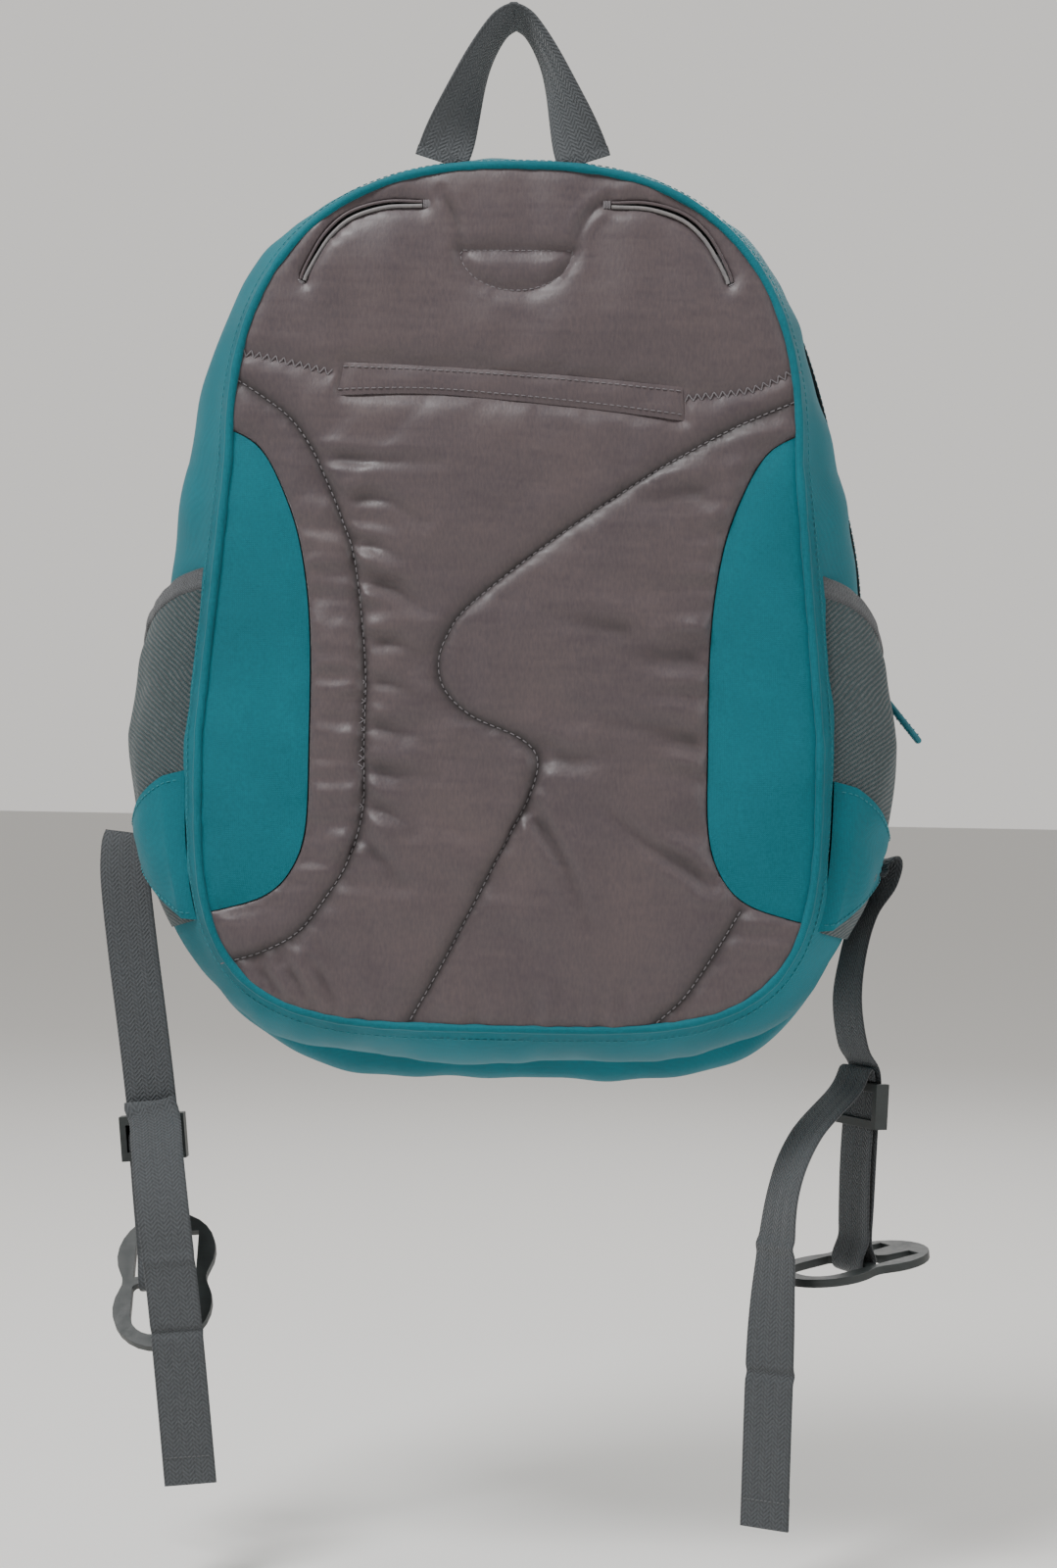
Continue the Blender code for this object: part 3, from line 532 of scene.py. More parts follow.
def knit_mesh(name, colour, behind, cell):
    """Open knit: light diagonal ribs crossed by thinner threads; between them, painted shade: the teal
    cloth behind, painted dark.
    """
    paint = Paint(name, 0.75, sheen=0.15, specular=0.3)
    across, along = paint.woven_place()
    rise = paint.total((along, 1), (across, 1), (paint.noise(0.006, 2.0), 0.0012))
    fall = paint.math("SUBTRACT", along, across)
    ribs = paint.ramp(paint.wave(rise, cell), -0.6, 0.7)
    cross = paint.ramp(paint.wave(fall, cell * 2 / 3), 0.1, 0.9)
    cover = paint.math("MAXIMUM", ribs, paint.math("MULTIPLY", cross, 0.55))
    grain = paint.ramp(paint.noise(0.0012, 2.0), 0.35, 0.7)
    thread = paint.mix(grain, shade(colour, 0.75), shade(colour, 1.35))
    # Painted shade: the knit's holes take the dark teal colour of the shaded cloth behind.
    base = paint.mix(paint.ramp(cover, 0.0, 0.9), shade(behind, 1.0), thread)
    return paint.finish(base, paint.relief(cover, 0.0006, 0.8))


def moulded(name, colour, rough):
    """Moulded plastic: faint orange peel, rubbed lighter in places, fine scratches."""
    paint = Paint(name, rough, specular=0.5)
    rub = paint.noise(0.007, 4.0, rough=0.65)
    scratch = paint.noise(0.0012, 3.0, paint.stretched((0.08, 1.0, 1.0)))
    share = paint.ramp(paint.total((rub, 1), (scratch, 0.35)), 0.5, 0.9)
    base = paint.mix(share, shade(colour, 0.85), shade(colour, 1.45))
    rough_map = paint.ramp(rub, 0.3, 0.7, rough - 0.08, rough + 0.12)
    return paint.finish(base, paint.relief(paint.noise(0.0006, 2.0), 0.0001, 0.5), rough_map)


def enamel(name, colour):
    """Dark enamelled zip metal, worn brighter in spots."""
    paint = Paint(name, 0.38, metallic=0.75)
    wear = paint.ramp(paint.noise(0.003, 4.0), 0.52, 0.68)
    base = paint.mix(wear, shade(colour, 0.8), shade(colour, 2.4))
    return paint.finish(base, paint.relief(paint.noise(0.0008, 2.0), 0.0001, 0.4))


TEAL = (0.0040, 0.135, 0.172)
TEAL_THREAD = (0.012, 0.20, 0.24)
TEAL_PLASTIC = (0.006, 0.135, 0.175)
GREY = (0.088, 0.066, 0.070)
PALE = (0.20, 0.19, 0.19)
PALE_THREAD = (0.17, 0.155, 0.165)
WEB = (0.068, 0.074, 0.080)
WEB_THREAD = (0.12, 0.125, 0.13)
ELASTIC = (0.10, 0.105, 0.112)
KNIT = (0.084, 0.095, 0.098)
# Painted shade: dark teal painted into the knit's holes for the shaded cloth behind them.
SHADED_TEAL_THROUGH_KNIT = (0.020, 0.055, 0.062)
LINING = (0.17, 0.17, 0.172)
TAPE = (0.018, 0.020, 0.022)
COIL = (0.014, 0.015, 0.016)
ENAMEL = (0.10, 0.10, 0.105)
ACETAL = (0.020, 0.025, 0.025)


def sewing_thread(name, colour):
    return woven(name, colour, 0.6, 0.0006, 0.00008)


FINISH = {  # finish: material and slot
    "teal": (woven("teal_cloth", TEAL, 0.66, 0.0009, 0.00014, 0.06, 0.2), "teal_fabric"),
    "quilt": (satin("quilt_satin", GREY, 0.47), "quilted_panel"),
    "piping": (satin("pale_piping", PALE, 0.45), "slit_piping"),
    "webbing": (ribbed("harness_webbing", WEB, 0.72, 0.0021, 0.0016), "webbing"),
    "binding": (ribbed("elastic_binding", ELASTIC, 0.75, 0.0016, 0.001, 0.008), "elastic_binding"),
    "mesh": (knit_mesh("knit_mesh", KNIT, SHADED_TEAL_THROUGH_KNIT, 0.0026), "mesh"),
    "lining": (woven("lining_cloth", LINING, 0.55, 0.0008, 0.00012), "lining"),
    "tape": (woven("zip_tape_cloth", TAPE, 0.7, 0.0011, 0.0002), "zip_tape"),
    "coil": (moulded("zip_coil", COIL, 0.35), "zip_tape"),
    "metal": (enamel("zip_enamel", ENAMEL), "zip_metal"),
    "puller": (moulded("puller_plastic", TEAL_PLASTIC, 0.5), "puller"),
    "hardware": (moulded("acetal", ACETAL, 0.45), "hardware"),
    "thread": (sewing_thread("pale_thread", PALE_THREAD), "quilted_panel"),
    "teal_thread": (sewing_thread("teal_thread", TEAL_THREAD), "teal_fabric"),
    "web_thread": (sewing_thread("grey_thread", WEB_THREAD), "webbing"),
}

# ---- the shell's outline ------------------------------------------------------------------


def outline(station):
    """Seam outline in x and z: station 0 at the top, HALF at the bottom, on round the left."""
    s = np.asarray(station, float) % (2 * HALF)
    mirrored = s > HALF
    s = np.minimum(s, 2 * HALF - s)
    dome = pi / 2 * (1 - np.minimum(s, DOME) / DOME)
    x = SHOULDER_HALF * np.cos(dome) ** (2 / DOME_POWER)
    z = SHOULDER_Z + (TOP_Z - SHOULDER_Z) * np.sin(dome) ** (2 / DOME_POWER)
    k = (s - DOME) / SIDE
    on_side = s > DOME
    x = np.where(on_side, SHOULDER_HALF + (SIDE_HALF - SHOULDER_HALF) * k, x)
    z = np.where(on_side, SHOULDER_Z + (SIDE_Z - SHOULDER_Z) * k, z)
    k = np.clip((s - DOME - SIDE) / BASE, 0, 1)
    base = pi / 2 * k * k * (3 - 2 * k)
    on_base = s > DOME + SIDE
    x = np.where(on_base, SIDE_HALF * np.maximum(np.cos(base), 0) ** (2 / BASE_POWER), x)
    z = np.where(on_base, SIDE_Z + (BOTTOM_Z - SIDE_Z) * np.sin(base) ** (2 / BASE_POWER), z)
    return np.where(mirrored, -x, x), z


def outline_normal(station):
    step = 0.05
    x0, z0 = outline(np.asarray(station, float) - step)
    x1, z1 = outline(np.asarray(station, float) + step)
    length = np.hypot(x1 - x0, z1 - z0)
    return (z0 - z1) / length, (x1 - x0) / length


def growth_table(names):
    """Depth, side, top and bottom growth of the shell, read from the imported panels' rings."""
    points = np.array([v.co[:] for name in names for v in NODES[name].data.vertices])
    rows = []
    for y in np.unique(points[:, 1].round(4)):
        ring = points[np.abs(points[:, 1] - y) < 0.0002]
        top, bottom = ring[:, 2].max() - TOP_Z, BOTTOM_Z - ring[:, 2].min()
        rows.append((y, -ring[:, 0].min() - SIDE_HALF, top, bottom))
    return catmull(rows, 8)


REAR = growth_table(["rear_gusset"])
FRONT = growth_table(["lower_front_gusset", "flap_gusset"])
POCKET = growth_table(["pocket_gusset"])


def filled(x, z):
    """Share of its side growth the shell has at a place on its outline."""
    down = smoothstep((SLACK_HIGH - z) / (SLACK_HIGH - SLACK_LOW))
    left, right = (low + (high - low) * down for low, high in (LEFT_SHARES, RIGHT_SHARES))
    return np.where(x < 0, left, right)


def on_shell(station, y, table, extra=0.0):
    """Points of the shell where station and y match in shape, pushed out by extra."""
    side, top, bottom = (np.interp(y, table[:, 0], table[:, k]) for k in (1, 2, 3))
    x, z = outline(station)
    nx, nz = outline_normal(station)
    folded = np.minimum(station % (2 * HALF), 2 * HALF - station % (2 * HALF))
    tuck = BASE_TUCK * np.clip((folded - DOME - SIDE) / TUCK_RUN, 0, 1)
    side = side * filled(x, z) * (1 - tuck)
    grow = side * nx * nx + np.where(nz > 0, top, bottom) * nz * nz + extra
    return np.stack(np.broadcast_arrays(x + nx * grow, y, z + nz * grow), axis=-1)


def shell(station, y, table, extra=0.0):
    """Points of the shell for stations (rows) and depths (columns)."""
    return on_shell(np.asarray(station, float)[:, None], np.asarray(y, float)[None, :], table, extra)


def seam_line(station, y, table, extra=0.0):
    return shell(station, [y], table, extra)[:, 0]


# ---- quilted back panel -------------------------------------------------------------------

CLOTH_STEP = 0.0026  # spacing of the cloth's points
SIM_FRAMES = 14
SWELL_CAP = 0.0055  # how far the simulated cloth may rise from its seams
DENT_CAP = 0.0020
GROWTH = 0.042  # how much the cloth grows where it is fullest
PRESSURE = 9.0
PILLOW = 0.0034  # how far the foam lifts the satin between seams before it swells
SEAM_Y = PAD_LOW.y + 0.0030  # how deep the quilting thread pulls the satin
PAD_BACK_Y = PAD_HIGH.y - 0.0006
GATHER_REACH = 0.022  # how far the gathers run from the seams that draw them in

LEFT_SEAM = [
    (-0.1335, -0.1660), (-0.1187, -0.1753), (-0.1053, -0.1854), (-0.0952, -0.1987),
    (-0.0874, -0.2144), (-0.0796, -0.2332), (-0.0731, -0.2535), (-0.0676, -0.2999),
    (-0.0676, -0.3363), (-0.0676, -0.3689), (-0.0745, -0.3938), (-0.0846, -0.4108),
    (-0.0971, -0.4269), (-0.1141, -0.4366), (-0.1345, -0.4430),
]  # fmt: skip
CURVED_SEAM = [
    (0.1345, -0.1742), (0.1049, -0.1872), (0.0814, -0.2001), (0.0603, -0.2130),
    (0.0193, -0.2415), (-0.0184, -0.2719), (-0.0290, -0.2861), (-0.0331, -0.2990),
    (-0.0299, -0.3124), (-0.0170, -0.3243), (0.0037, -0.3331), (0.0125, -0.3400),
    (0.0143, -0.3480), (0.0101, -0.3625), (-0.0018, -0.3864), (-0.0193, -0.4218),
    (-0.0317, -0.4458), (-0.0440, -0.4680),
]  # fmt: skip
CORNER_SEAM = [(0.1100, -0.4135), (0.0966, -0.4361), (0.0842, -0.4545), (0.0710, -0.4670)]
LEFT_YOKE = [(-0.1300, -0.1545), (-0.1080, -0.1590), (-0.0856, -0.1640)]
RIGHT_YOKE = [(0.0800, -0.1745), (0.1109, -0.1702), (0.1330, -0.1605)]
INSERT_EDGE = [
    (0.1500, -0.1860), (0.1340, -0.1910), (0.1190, -0.2000), (0.1080, -0.2190),
    (0.0990, -0.2460), (0.0940, -0.2850), (0.0935, -0.3400), (0.0945, -0.3780),
    (0.1010, -0.3980), (0.1130, -0.4100), (0.1340, -0.4170), (0.1500, -0.4200),
]  # fmt: skip
SLIT = [
    (0.0450, -0.0845), (0.0620, -0.0850), (0.0780, -0.0900), (0.0885, -0.0990),
    (0.0955, -0.1100), (0.1005, -0.1200),
]  # fmt: skip
SLIT_HALF = 0.0009
RUN_SEAMS = [LEFT_SEAM, CURVED_SEAM, CORNER_SEAM]
ZIGZAG_SEAMS = [LEFT_YOKE, RIGHT_YOKE]
WELT_TOP = [(-0.0800, -0.1590), (-0.0359, -0.1606), (0.0200, -0.1640), (0.0790, -0.1690)]
WELT_BOTTOM = [(-0.0830, -0.1745), (-0.0359, -0.1737), (0.0345, -0.1795), (0.0800, -0.1850)]
PATCH_HALF, PATCH_TOP, PATCH_DROP = 0.0265, -0.1060, 0.0187


def pad_loop():
    station = np.linspace(0, 2 * HALF, 1200, endpoint=False)
    loop = np.column_stack(outline(station)) - 0.0002 * np.column_stack(outline_normal(station))
    return resample(np.vstack([loop, loop[:1]]), CLOTH_STEP)[:-1]


def insert_loop(side, shift=0.0):
    edge = curve(INSERT_EDGE, CLOTH_STEP)
    edge = np.column_stack([side * (edge[:, 0] + shift), edge[:, 1]])
    return np.vstack([edge, [(side * 0.2, edge[-1, 1]), (side * 0.2, edge[0, 1])]])


def slit_loop(side, grow):
    centre = curve(SLIT, 0.002)
    heading = directions(centre)
    centre[[0, -1]] += heading[[0, -1]] * (-grow, grow)
    taper = np.sqrt(np.clip(np.sin(np.linspace(0.04, 0.96, len(centre)) * pi), 0, 1))[:, None]
    wide = (SLIT_HALF * taper + grow) * heading[:, ::-1] * (-1, 1)
    loop = np.vstack([centre + wide, (centre - wide)[::-1]])
    return loop * (side, 1)


def patch_loop(spacing=0.0022):
    turn = np.linspace(0, pi, 40)
    arc = np.column_stack([PATCH_HALF * np.cos(turn), PATCH_TOP - PATCH_DROP * np.sin(turn)])
    return resample(np.vstack([arc, arc[:1]]), spacing)[:-1]


def welt_loop():
    top, bottom = curve(WELT_TOP, CLOTH_STEP), curve(WELT_BOTTOM, CLOTH_STEP)
    return np.vstack([top, bottom[::-1]])


def hexagons(low, high, step):
    """Evenly spread points over a rectangle, every other row shifted by half a step."""
    rows = []
    for i, z in enumerate(np.arange(low[1], high[1], step * 0.866)):
        x = np.arange(low[0] + (i % 2) * step / 2, high[0], step)
        rows.append(np.column_stack([x, np.full(len(x), z)]))
    return np.vstack(rows)


def cut_cloth(loops, lines, step, keep):
    """Triangles of even size with edges along closed loops and open lines.

    keep says which points are cloth. Returns points in x and z, triangles, and which points lie
    on each loop and line.
    """
    points, edges, parts = [], [], []
    total = 0
    for line, closed in [(loop, True) for loop in loops] + [(line, False) for line in lines]:
        count = len(line)
        points.append(line)
        parts.append(total + np.arange(count))
        last = count if closed else count - 1
        edges += [(total + i, total + (i + 1) % count) for i in range(last)]
        total += count
    fixed = np.vstack(points)
    fill = hexagons(fixed.min(0), fixed.max(0), step)
    fill = fill[keep(fill)]
    for line, closed in [(loop, True) for loop in loops] + [(line, False) for line in lines]:
        fill = fill[distance(fill, line, closed) > step * 0.55]
    everything = np.vstack([fixed, fill])
    made = delaunay_2d_cdt([Vector(p) for p in everything], edges, [], 0, 1e-6)
    verts = np.array([v[:] for v in made[0]])
    faces = np.array(made[2])
    faces = faces[keep(verts[faces].mean(1))]
    found = np.full(len(everything), -1)
    for new, olds in enumerate(made[3]):
        for old in olds:
            found[old] = new
    used = np.unique(faces)
    renumber = np.full(len(verts), -1)
    renumber[used] = np.arange(len(used))
    parts = [renumber[found[part]] for part in parts]
    return verts[used], renumber[faces], [part[part >= 0] for part in parts]


def cloth_solid(name, front, faces, back_y):
    """Close a cloth front with a flat back at back_y and walls round every edge."""
    back = front.copy()
    back[:, 1] = back_y
    size = len(front)
    edges = np.vstack([faces[:, [0, 1]], faces[:, [1, 2]], faces[:, [2, 0]]])
    ordered = np.sort(edges, axis=1)
    _, first, count = np.unique(ordered, axis=0, return_index=True, return_counts=True)
    border = edges[first[count == 1]]
    walls = [[a, b, b + size, a + size] for a, b in border]
    polygons = faces.tolist() + (faces[:, ::-1] + size).tolist() + walls
    return new_object(name, np.vstack([front, back]), polygons, None, 60)


def swell(points, faces, held, fullness, growth, pressure):
    """Cloth simulation: the sheet grows and swells between the points that are held."""
    mesh = bpy.data.meshes.new("cloth")
    mesh.from_pydata(points.tolist(), [], faces.tolist())
    obj = linked("cloth", mesh)
    pins = obj.vertex_groups.new(name="held")
    pins.add([int(i) for i in held], 1.0, "REPLACE")
    taut = obj.vertex_groups.new(name="taut")
    for i, share in enumerate(fullness):
        taut.add([i], 1.0 - float(share), "REPLACE")
    cloth = obj.modifiers.new("cloth", "CLOTH")
    settings = cloth.settings
    settings.quality = 6
    settings.mass = 0.01
    settings.tension_stiffness = settings.compression_stiffness = 12
    settings.shear_stiffness = 6
    settings.bending_stiffness = 0.02
    settings.vertex_group_mass = "held"
    settings.vertex_group_shrink = "taut"
    settings.shrink_min = -growth
    settings.shrink_max = 0.0
    settings.use_pressure = True
    settings.uniform_pressure_force = pressure
    settings.effector_weights.gravity = 0.0
    cloth.collision_settings.use_collision = False
    cloth.point_cache.frame_start = 1
    cloth.point_cache.frame_end = SIM_FRAMES
    scene = bpy.context.scene
    for number in range(1, SIM_FRAMES + 1):
        scene.frame_set(number)
    settled = obj.evaluated_get(bpy.context.evaluated_depsgraph_get())
    flat = np.zeros(len(settled.data.vertices) * 3)
    settled.data.vertices.foreach_get("co", flat)
    scene.frame_set(1)
    bpy.data.objects.remove(obj)
    return flat.reshape(-1, 3)


def quilt_fullness(points):
    """How much spare cloth each place has: little above the yoke, most beside the seams."""
    x, z = points[:, 0], points[:, 1]
    below = smoothstep((-0.165 - z) / 0.05)
    seams = [curve(line, 0.004) for line in (LEFT_SEAM, CURVED_SEAM)]
    near = np.minimum(distance(points, seams[0]), distance(points, seams[1]))
    beside = np.exp(-((near / 0.028) ** 2))
    left_strip = smoothstep((-0.060 - x) / 0.02)
    return np.clip(0.16 + below * (0.42 + 0.42 * beside + 0.25 * left_strip), 0, 1)


CREASES = [  # long folds of the satin: route, depth and half width
    ([(0.0120, -0.3680), (0.0280, -0.3925), (0.0393, -0.4200)], 0.0024, 0.0036),
    ([(0.0960, -0.4010), (0.0647, -0.3813), (0.0440, -0.3650)], 0.0022, 0.0036),
    ([(0.0920, -0.2945), (0.0680, -0.2945), (0.0420, -0.2880)], 0.0022, 0.0060),
    ([(0.0920, -0.3365), (0.0700, -0.3300), (0.0460, -0.3270)], 0.0020, 0.0050),
    ([(0.0600, -0.2840), (0.0420, -0.2810), (0.0180, -0.2760)], 0.0012, 0.0050),
    ([(0.0180, -0.3420), (0.0330, -0.3440), (0.0480, -0.3400)], 0.0016, 0.0050),
    ([(0.0940, -0.2180), (0.0760, -0.2190), (0.0560, -0.2240)], 0.0014, 0.0050),
    ([(-0.0870, -0.2035), (-0.0600, -0.2050), (-0.0340, -0.2052)], 0.0018, 0.0030),
    ([(-0.0780, -0.2236), (-0.0564, -0.2236), (-0.0400, -0.2330)], 0.0018, 0.0034),
    ([(-0.0719, -0.2433), (-0.0620, -0.2450), (-0.0500, -0.2500)], 0.0014, 0.0030),
    ([(-0.0670, -0.2602), (-0.0530, -0.2650), (-0.0380, -0.2750)], 0.0018, 0.0036),
    ([(-0.0660, -0.2900), (-0.0520, -0.2905), (-0.0380, -0.2960)], 0.0017, 0.0032),
    ([(-0.0660, -0.3081), (-0.0520, -0.3105), (-0.0367, -0.3170)], 0.0017, 0.0032),
    ([(-0.0660, -0.3278), (-0.0520, -0.3320), (-0.0360, -0.3360)], 0.0017, 0.0034),
    ([(-0.0660, -0.3480), (-0.0520, -0.3520), (-0.0330, -0.3520)], 0.0015, 0.0036),
    ([(-0.0665, -0.3644), (-0.0560, -0.3700), (-0.0430, -0.3790)], 0.0020, 0.0034),
    ([(-0.0680, -0.3830), (-0.0580, -0.3920), (-0.0480, -0.4040)], 0.0016, 0.0036),
    ([(-0.0353, -0.0790), (-0.0290, -0.0900), (-0.0262, -0.1000), (-0.0258, -0.1137)], 0.0012, 0.0022),
    ([(0.0440, -0.0815), (0.0340, -0.0890), (0.0286, -0.1000), (0.0281, -0.1137)], 0.0014, 0.0022),
    ([(-0.1170, -0.4410), (-0.1080, -0.4520), (-0.0975, -0.4610)], 0.0018, 0.0028),
    ([(-0.1030, -0.4410), (-0.0960, -0.4510), (-0.0890, -0.4610)], 0.0018, 0.0028),
    ([(-0.0900, -0.4420), (-0.0830, -0.4520), (-0.0780, -0.4610)], 0.0012, 0.0028),
]


def long_folds(points):
    """Each fold's depth and half width, with every point's gap, share along and lead to it."""
    for route, depth, half in CREASES:
        line = curve(route, 0.003)
        span = line[-1] - line[0]
        along = smoothstep((points - line[0]) @ span / np.linalg.norm(span) ** 2)
        lead = np.linalg.norm(points - line[0], axis=1)
        yield depth, half, distance(points, line), along, lead


def crease_relief(points):
    """Furrows with a soft ridge beside each, deepest near their start and fading away."""
    relief = np.zeros(len(points))
    for depth, half, gap, along, lead in long_folds(points):
        fade = (1 - 0.85 * along) * (0.35 + 0.65 * smoothstep(lead / 0.010))
        wave = np.exp(-((gap / half) ** 2)) - 0.45 * np.exp(-(((gap - 2.0 * half) / half) ** 2))
        relief -= 1.4 * depth * fade * wave
    return relief


def crease_shade(points):
    """Painted shade: how much darker the satin is painted down in its long folds."""
    darkest = np.zeros(len(points))
    for _, half, gap, along, lead in long_folds(points):
        fade = (1 - 0.8 * along) * smoothstep(lead / 0.008)
        darkest = np.maximum(darkest, fade * np.exp(-((gap / (0.7 * half)) ** 2)))
    return darkest


def pleats(points, seed, pitch, stretch, height):
    """Height of pleats; stretch says how far they run across, through and down."""
    return ripple(standing(points, 0.0), seed, pitch, stretch) * height


def pleat_relief(points):
    """Gathers of the satin: short pleats that cross the seams it was drawn in by."""
    x, z = points.T
    left = curve(LEFT_SEAM, 0.004)
    outer = x < np.interp(-z, -left[:, 1], left[:, 0])
    middle = smoothstep((-0.205 - z) / 0.03) * smoothstep((z + 0.425) / 0.03)
    near_left = np.exp(-((distance(points, left) / GATHER_REACH) ** 2))
    near_right = np.exp(-((distance(points, curve(INSERT_EDGE, 0.004)) / GATHER_REACH) ** 2))
    strip = pleats(points, 31, 0.0088, (9, 1, 1), 0.0014) * middle * outer
    inner = pleats(points, 33, 0.0125, (4, 1, 1), 0.0013) * middle * ~outer * near_left
    beside = pleats(points, 35, 0.0125, (5, 1, 1), 0.0012) * near_right * (x > 0)
    hem = pleats(points, 37, 0.0085, (1, 1, 7), 0.0009) * smoothstep((-0.445 - z) / 0.012)
    yoke = pleats(points, 39, 0.034, (1, 1, 1.6), 0.0009) * smoothstep((z + 0.160) / 0.02)
    return strip + inner + beside + hem + yoke


def relaxed(heights, faces, held, rounds):
    """Heights drawn halfway to their neighbours' mean a few times; the sewn ones stay."""
    edges = np.vstack([faces[:, [0, 1]], faces[:, [1, 2]], faces[:, [2, 0]]])
    low, high = np.unique(np.sort(edges, axis=1), axis=0).T
    count = np.bincount(np.r_[low, high], minlength=len(heights))
    for _ in range(rounds):
        total = np.bincount(low, heights[high], len(heights))
        total += np.bincount(high, heights[low], len(heights))
        mean = total / np.maximum(count, 1)
        mean[held] = heights[held]
        heights = heights * 0.5 + mean * 0.5
    return heights


def eased(rise):
    """Simulated rise, levelling off at the caps for swelling and for dents."""
    cap = np.where(rise > 0, SWELL_CAP, DENT_CAP)
    return cap * np.tanh(rise / cap)


def quilt_cloth():
    """Cut the back panel's satin along its seams, swell it by simulation and sew it down."""
    edge = pad_loop()
    inserts = [insert_loop(side) for side in (-1, 1)]
    slits = [slit_loop(side, 0.0008) for side in (-1, 1)]

    def keep(points):
        found = inside(points, edge)
        for loop in inserts + slits:
            found &= ~inside(points, loop)
        return found

    insert_lines = [loop[:-2][inside(loop[:-2], edge)] for loop in inserts]
    seams = [curve(line, CLOTH_STEP) for line in RUN_SEAMS + ZIGZAG_SEAMS]
    loops = [edge, *slits, patch_loop(), welt_loop()]
    flat, faces, parts = cut_cloth(loops, [*insert_lines, *seams], CLOTH_STEP, keep)
    under_welt = np.nonzero(inside(flat, welt_loop()))[0]
    held = np.unique(np.concatenate([*parts, under_welt]))
    sheet = standing(flat, SEAM_Y)
    sewn = [distance(flat, line) for line in [*seams, *insert_lines]]
    gap = np.minimum(np.min(sewn, axis=0), distance(flat, edge, True))
    lift = PILLOW * (1 - np.exp(-gap / 0.0042)) + 0.0003 * ripple(sheet, 3, 0.012)
    lift[held] = 0.0
    sheet[:, 1] -= lift
    moved = swell(sheet, faces, held, quilt_fullness(flat), GROWTH, PRESSURE)
    moved[:, 1] = SEAM_Y - relaxed(eased(SEAM_Y - moved[:, 1]), faces, held, 5)
    sheet = moved
    fade = smoothstep((gap + 0.001) / 0.0045)
    fade[held] = 0.0
    sheet[:, 1] -= (crease_relief(flat) + pleat_relief(flat)) * fade
    shadow = sewn_shade(flat, seams[: len(RUN_SEAMS)])
    sewn_edges = [pair for part in parts[-len(seams) :] for pair in zip(part[:-1], part[1:])]
    return sheet, faces, seams, shadow, sewn_edges


def sewn_shade(points, seams):
    """Painted shade: how much darker the satin is painted where the thread pulls it into a tight furrow and
    down its long folds.
    """
    near = np.min([distance(points, line) for line in seams], axis=0)
    thread_line_shade = 0.75 * np.exp(-((near / 0.0016) ** 2)) + 0.30 * np.exp(-((near / 0.0055) ** 2))
    return np.clip(np.maximum(thread_line_shade, 0.55 * crease_shade(points)), 0, 0.95)


def fold_edges(mesh, pairs):
    """Keep a seam's furrow sharp when the mesh is subdivided."""
    wanted = {tuple(sorted((int(a), int(b)))) for a, b in pairs}
    crease = mesh.attributes.new("crease_edge", "FLOAT", "EDGE")
    for edge in mesh.edges:
        if tuple(sorted(edge.vertices)) in wanted:
            crease.data[edge.index].value = 0.8


def back_panel():
    sheet, faces, seams, shadow, sewn_edges = quilt_cloth()
    quilt = cloth_solid("quilted_back_panel", sheet, faces, PAD_BACK_Y)
    # Painted shade: the satin's material darkens its colour by this furrow attribute along seams and folds.
    furrow = quilt.data.attributes.new("furrow", "FLOAT", "POINT")
    furrow.data.foreach_set("value", np.r_[shadow, np.zeros(len(shadow))].astype(np.float32))
    fold_edges(quilt.data, sewn_edges)
    fine = quilt.modifiers.new("fine", "SUBSURF")
    fine.levels = fine.render_levels = 1
    settle(quilt, "quilt", "pack_body", ["back_panel_pad", "anchor_patch"])

    run_y, zigzag_y = SEAM_Y - 0.0004, SEAM_Y - 0.0007
    runs, zigzags = seams[: len(RUN_SEAMS)], seams[len(RUN_SEAMS) :]
    rows = [run_stitch(standing(line, run_y), 0.0034) for line in runs]
    left_z = runs[0][:, 1]
    doubled = runs[0][(left_z < -0.305) & (left_z > -0.370)] - (0.0018, 0)
    rows.append(zigzag_stitch(standing(doubled, zigzag_y), 0.0022, 0.0030))
    rows += [zigzag_stitch(standing(line, zigzag_y), 0.0020, 0.0034) for line in zigzags]
    patch = standing(patch_loop(0.0020), run_y)
    rows.append(run_stitch(np.vstack([patch, patch[:1]]), 0.0030))
    settle(threads("quilting_thread", rows, 0.00032), "thread", "pack_body")


def panel_inserts():
    """Teal side panels, gently crowned, tucked under the satin's curved edge."""
    edge = pad_loop()
    for side, word in ((-1, "left"), (1, "right")):
        region = insert_loop(side, 0.0004)

        def keep(points, region=region):
            return inside(points, edge) & inside(points, region)

        line = region[:-2][inside(region[:-2], edge)]
        flat, faces, _ = cut_cloth([edge], [line], 0.004, keep)
        rim = np.minimum(distance(flat, edge, True), distance(flat, line))
        crown = 0.0030 * (1 - np.exp(-rim / 0.012))
        sheet = standing(flat, SEAM_Y)
        dents = ripple(sheet, 11 + side, 0.05, (1, 1, 1.6)) * 0.0007 * smoothstep(rim / 0.02)
        pucker = ripple(sheet, 5 + side, 0.011, (2.5, 1, 1)) * 0.0005 * np.exp(-rim / 0.006)
        sheet[:, 1] -= crown + dents + pucker * smoothstep(rim / 0.002)
        insert = cloth_solid(f"side_panel_{word}", sheet, faces, PAD_BACK_Y)
        settle(insert, "teal", "pack_body", [f"side_insert_{word}"])


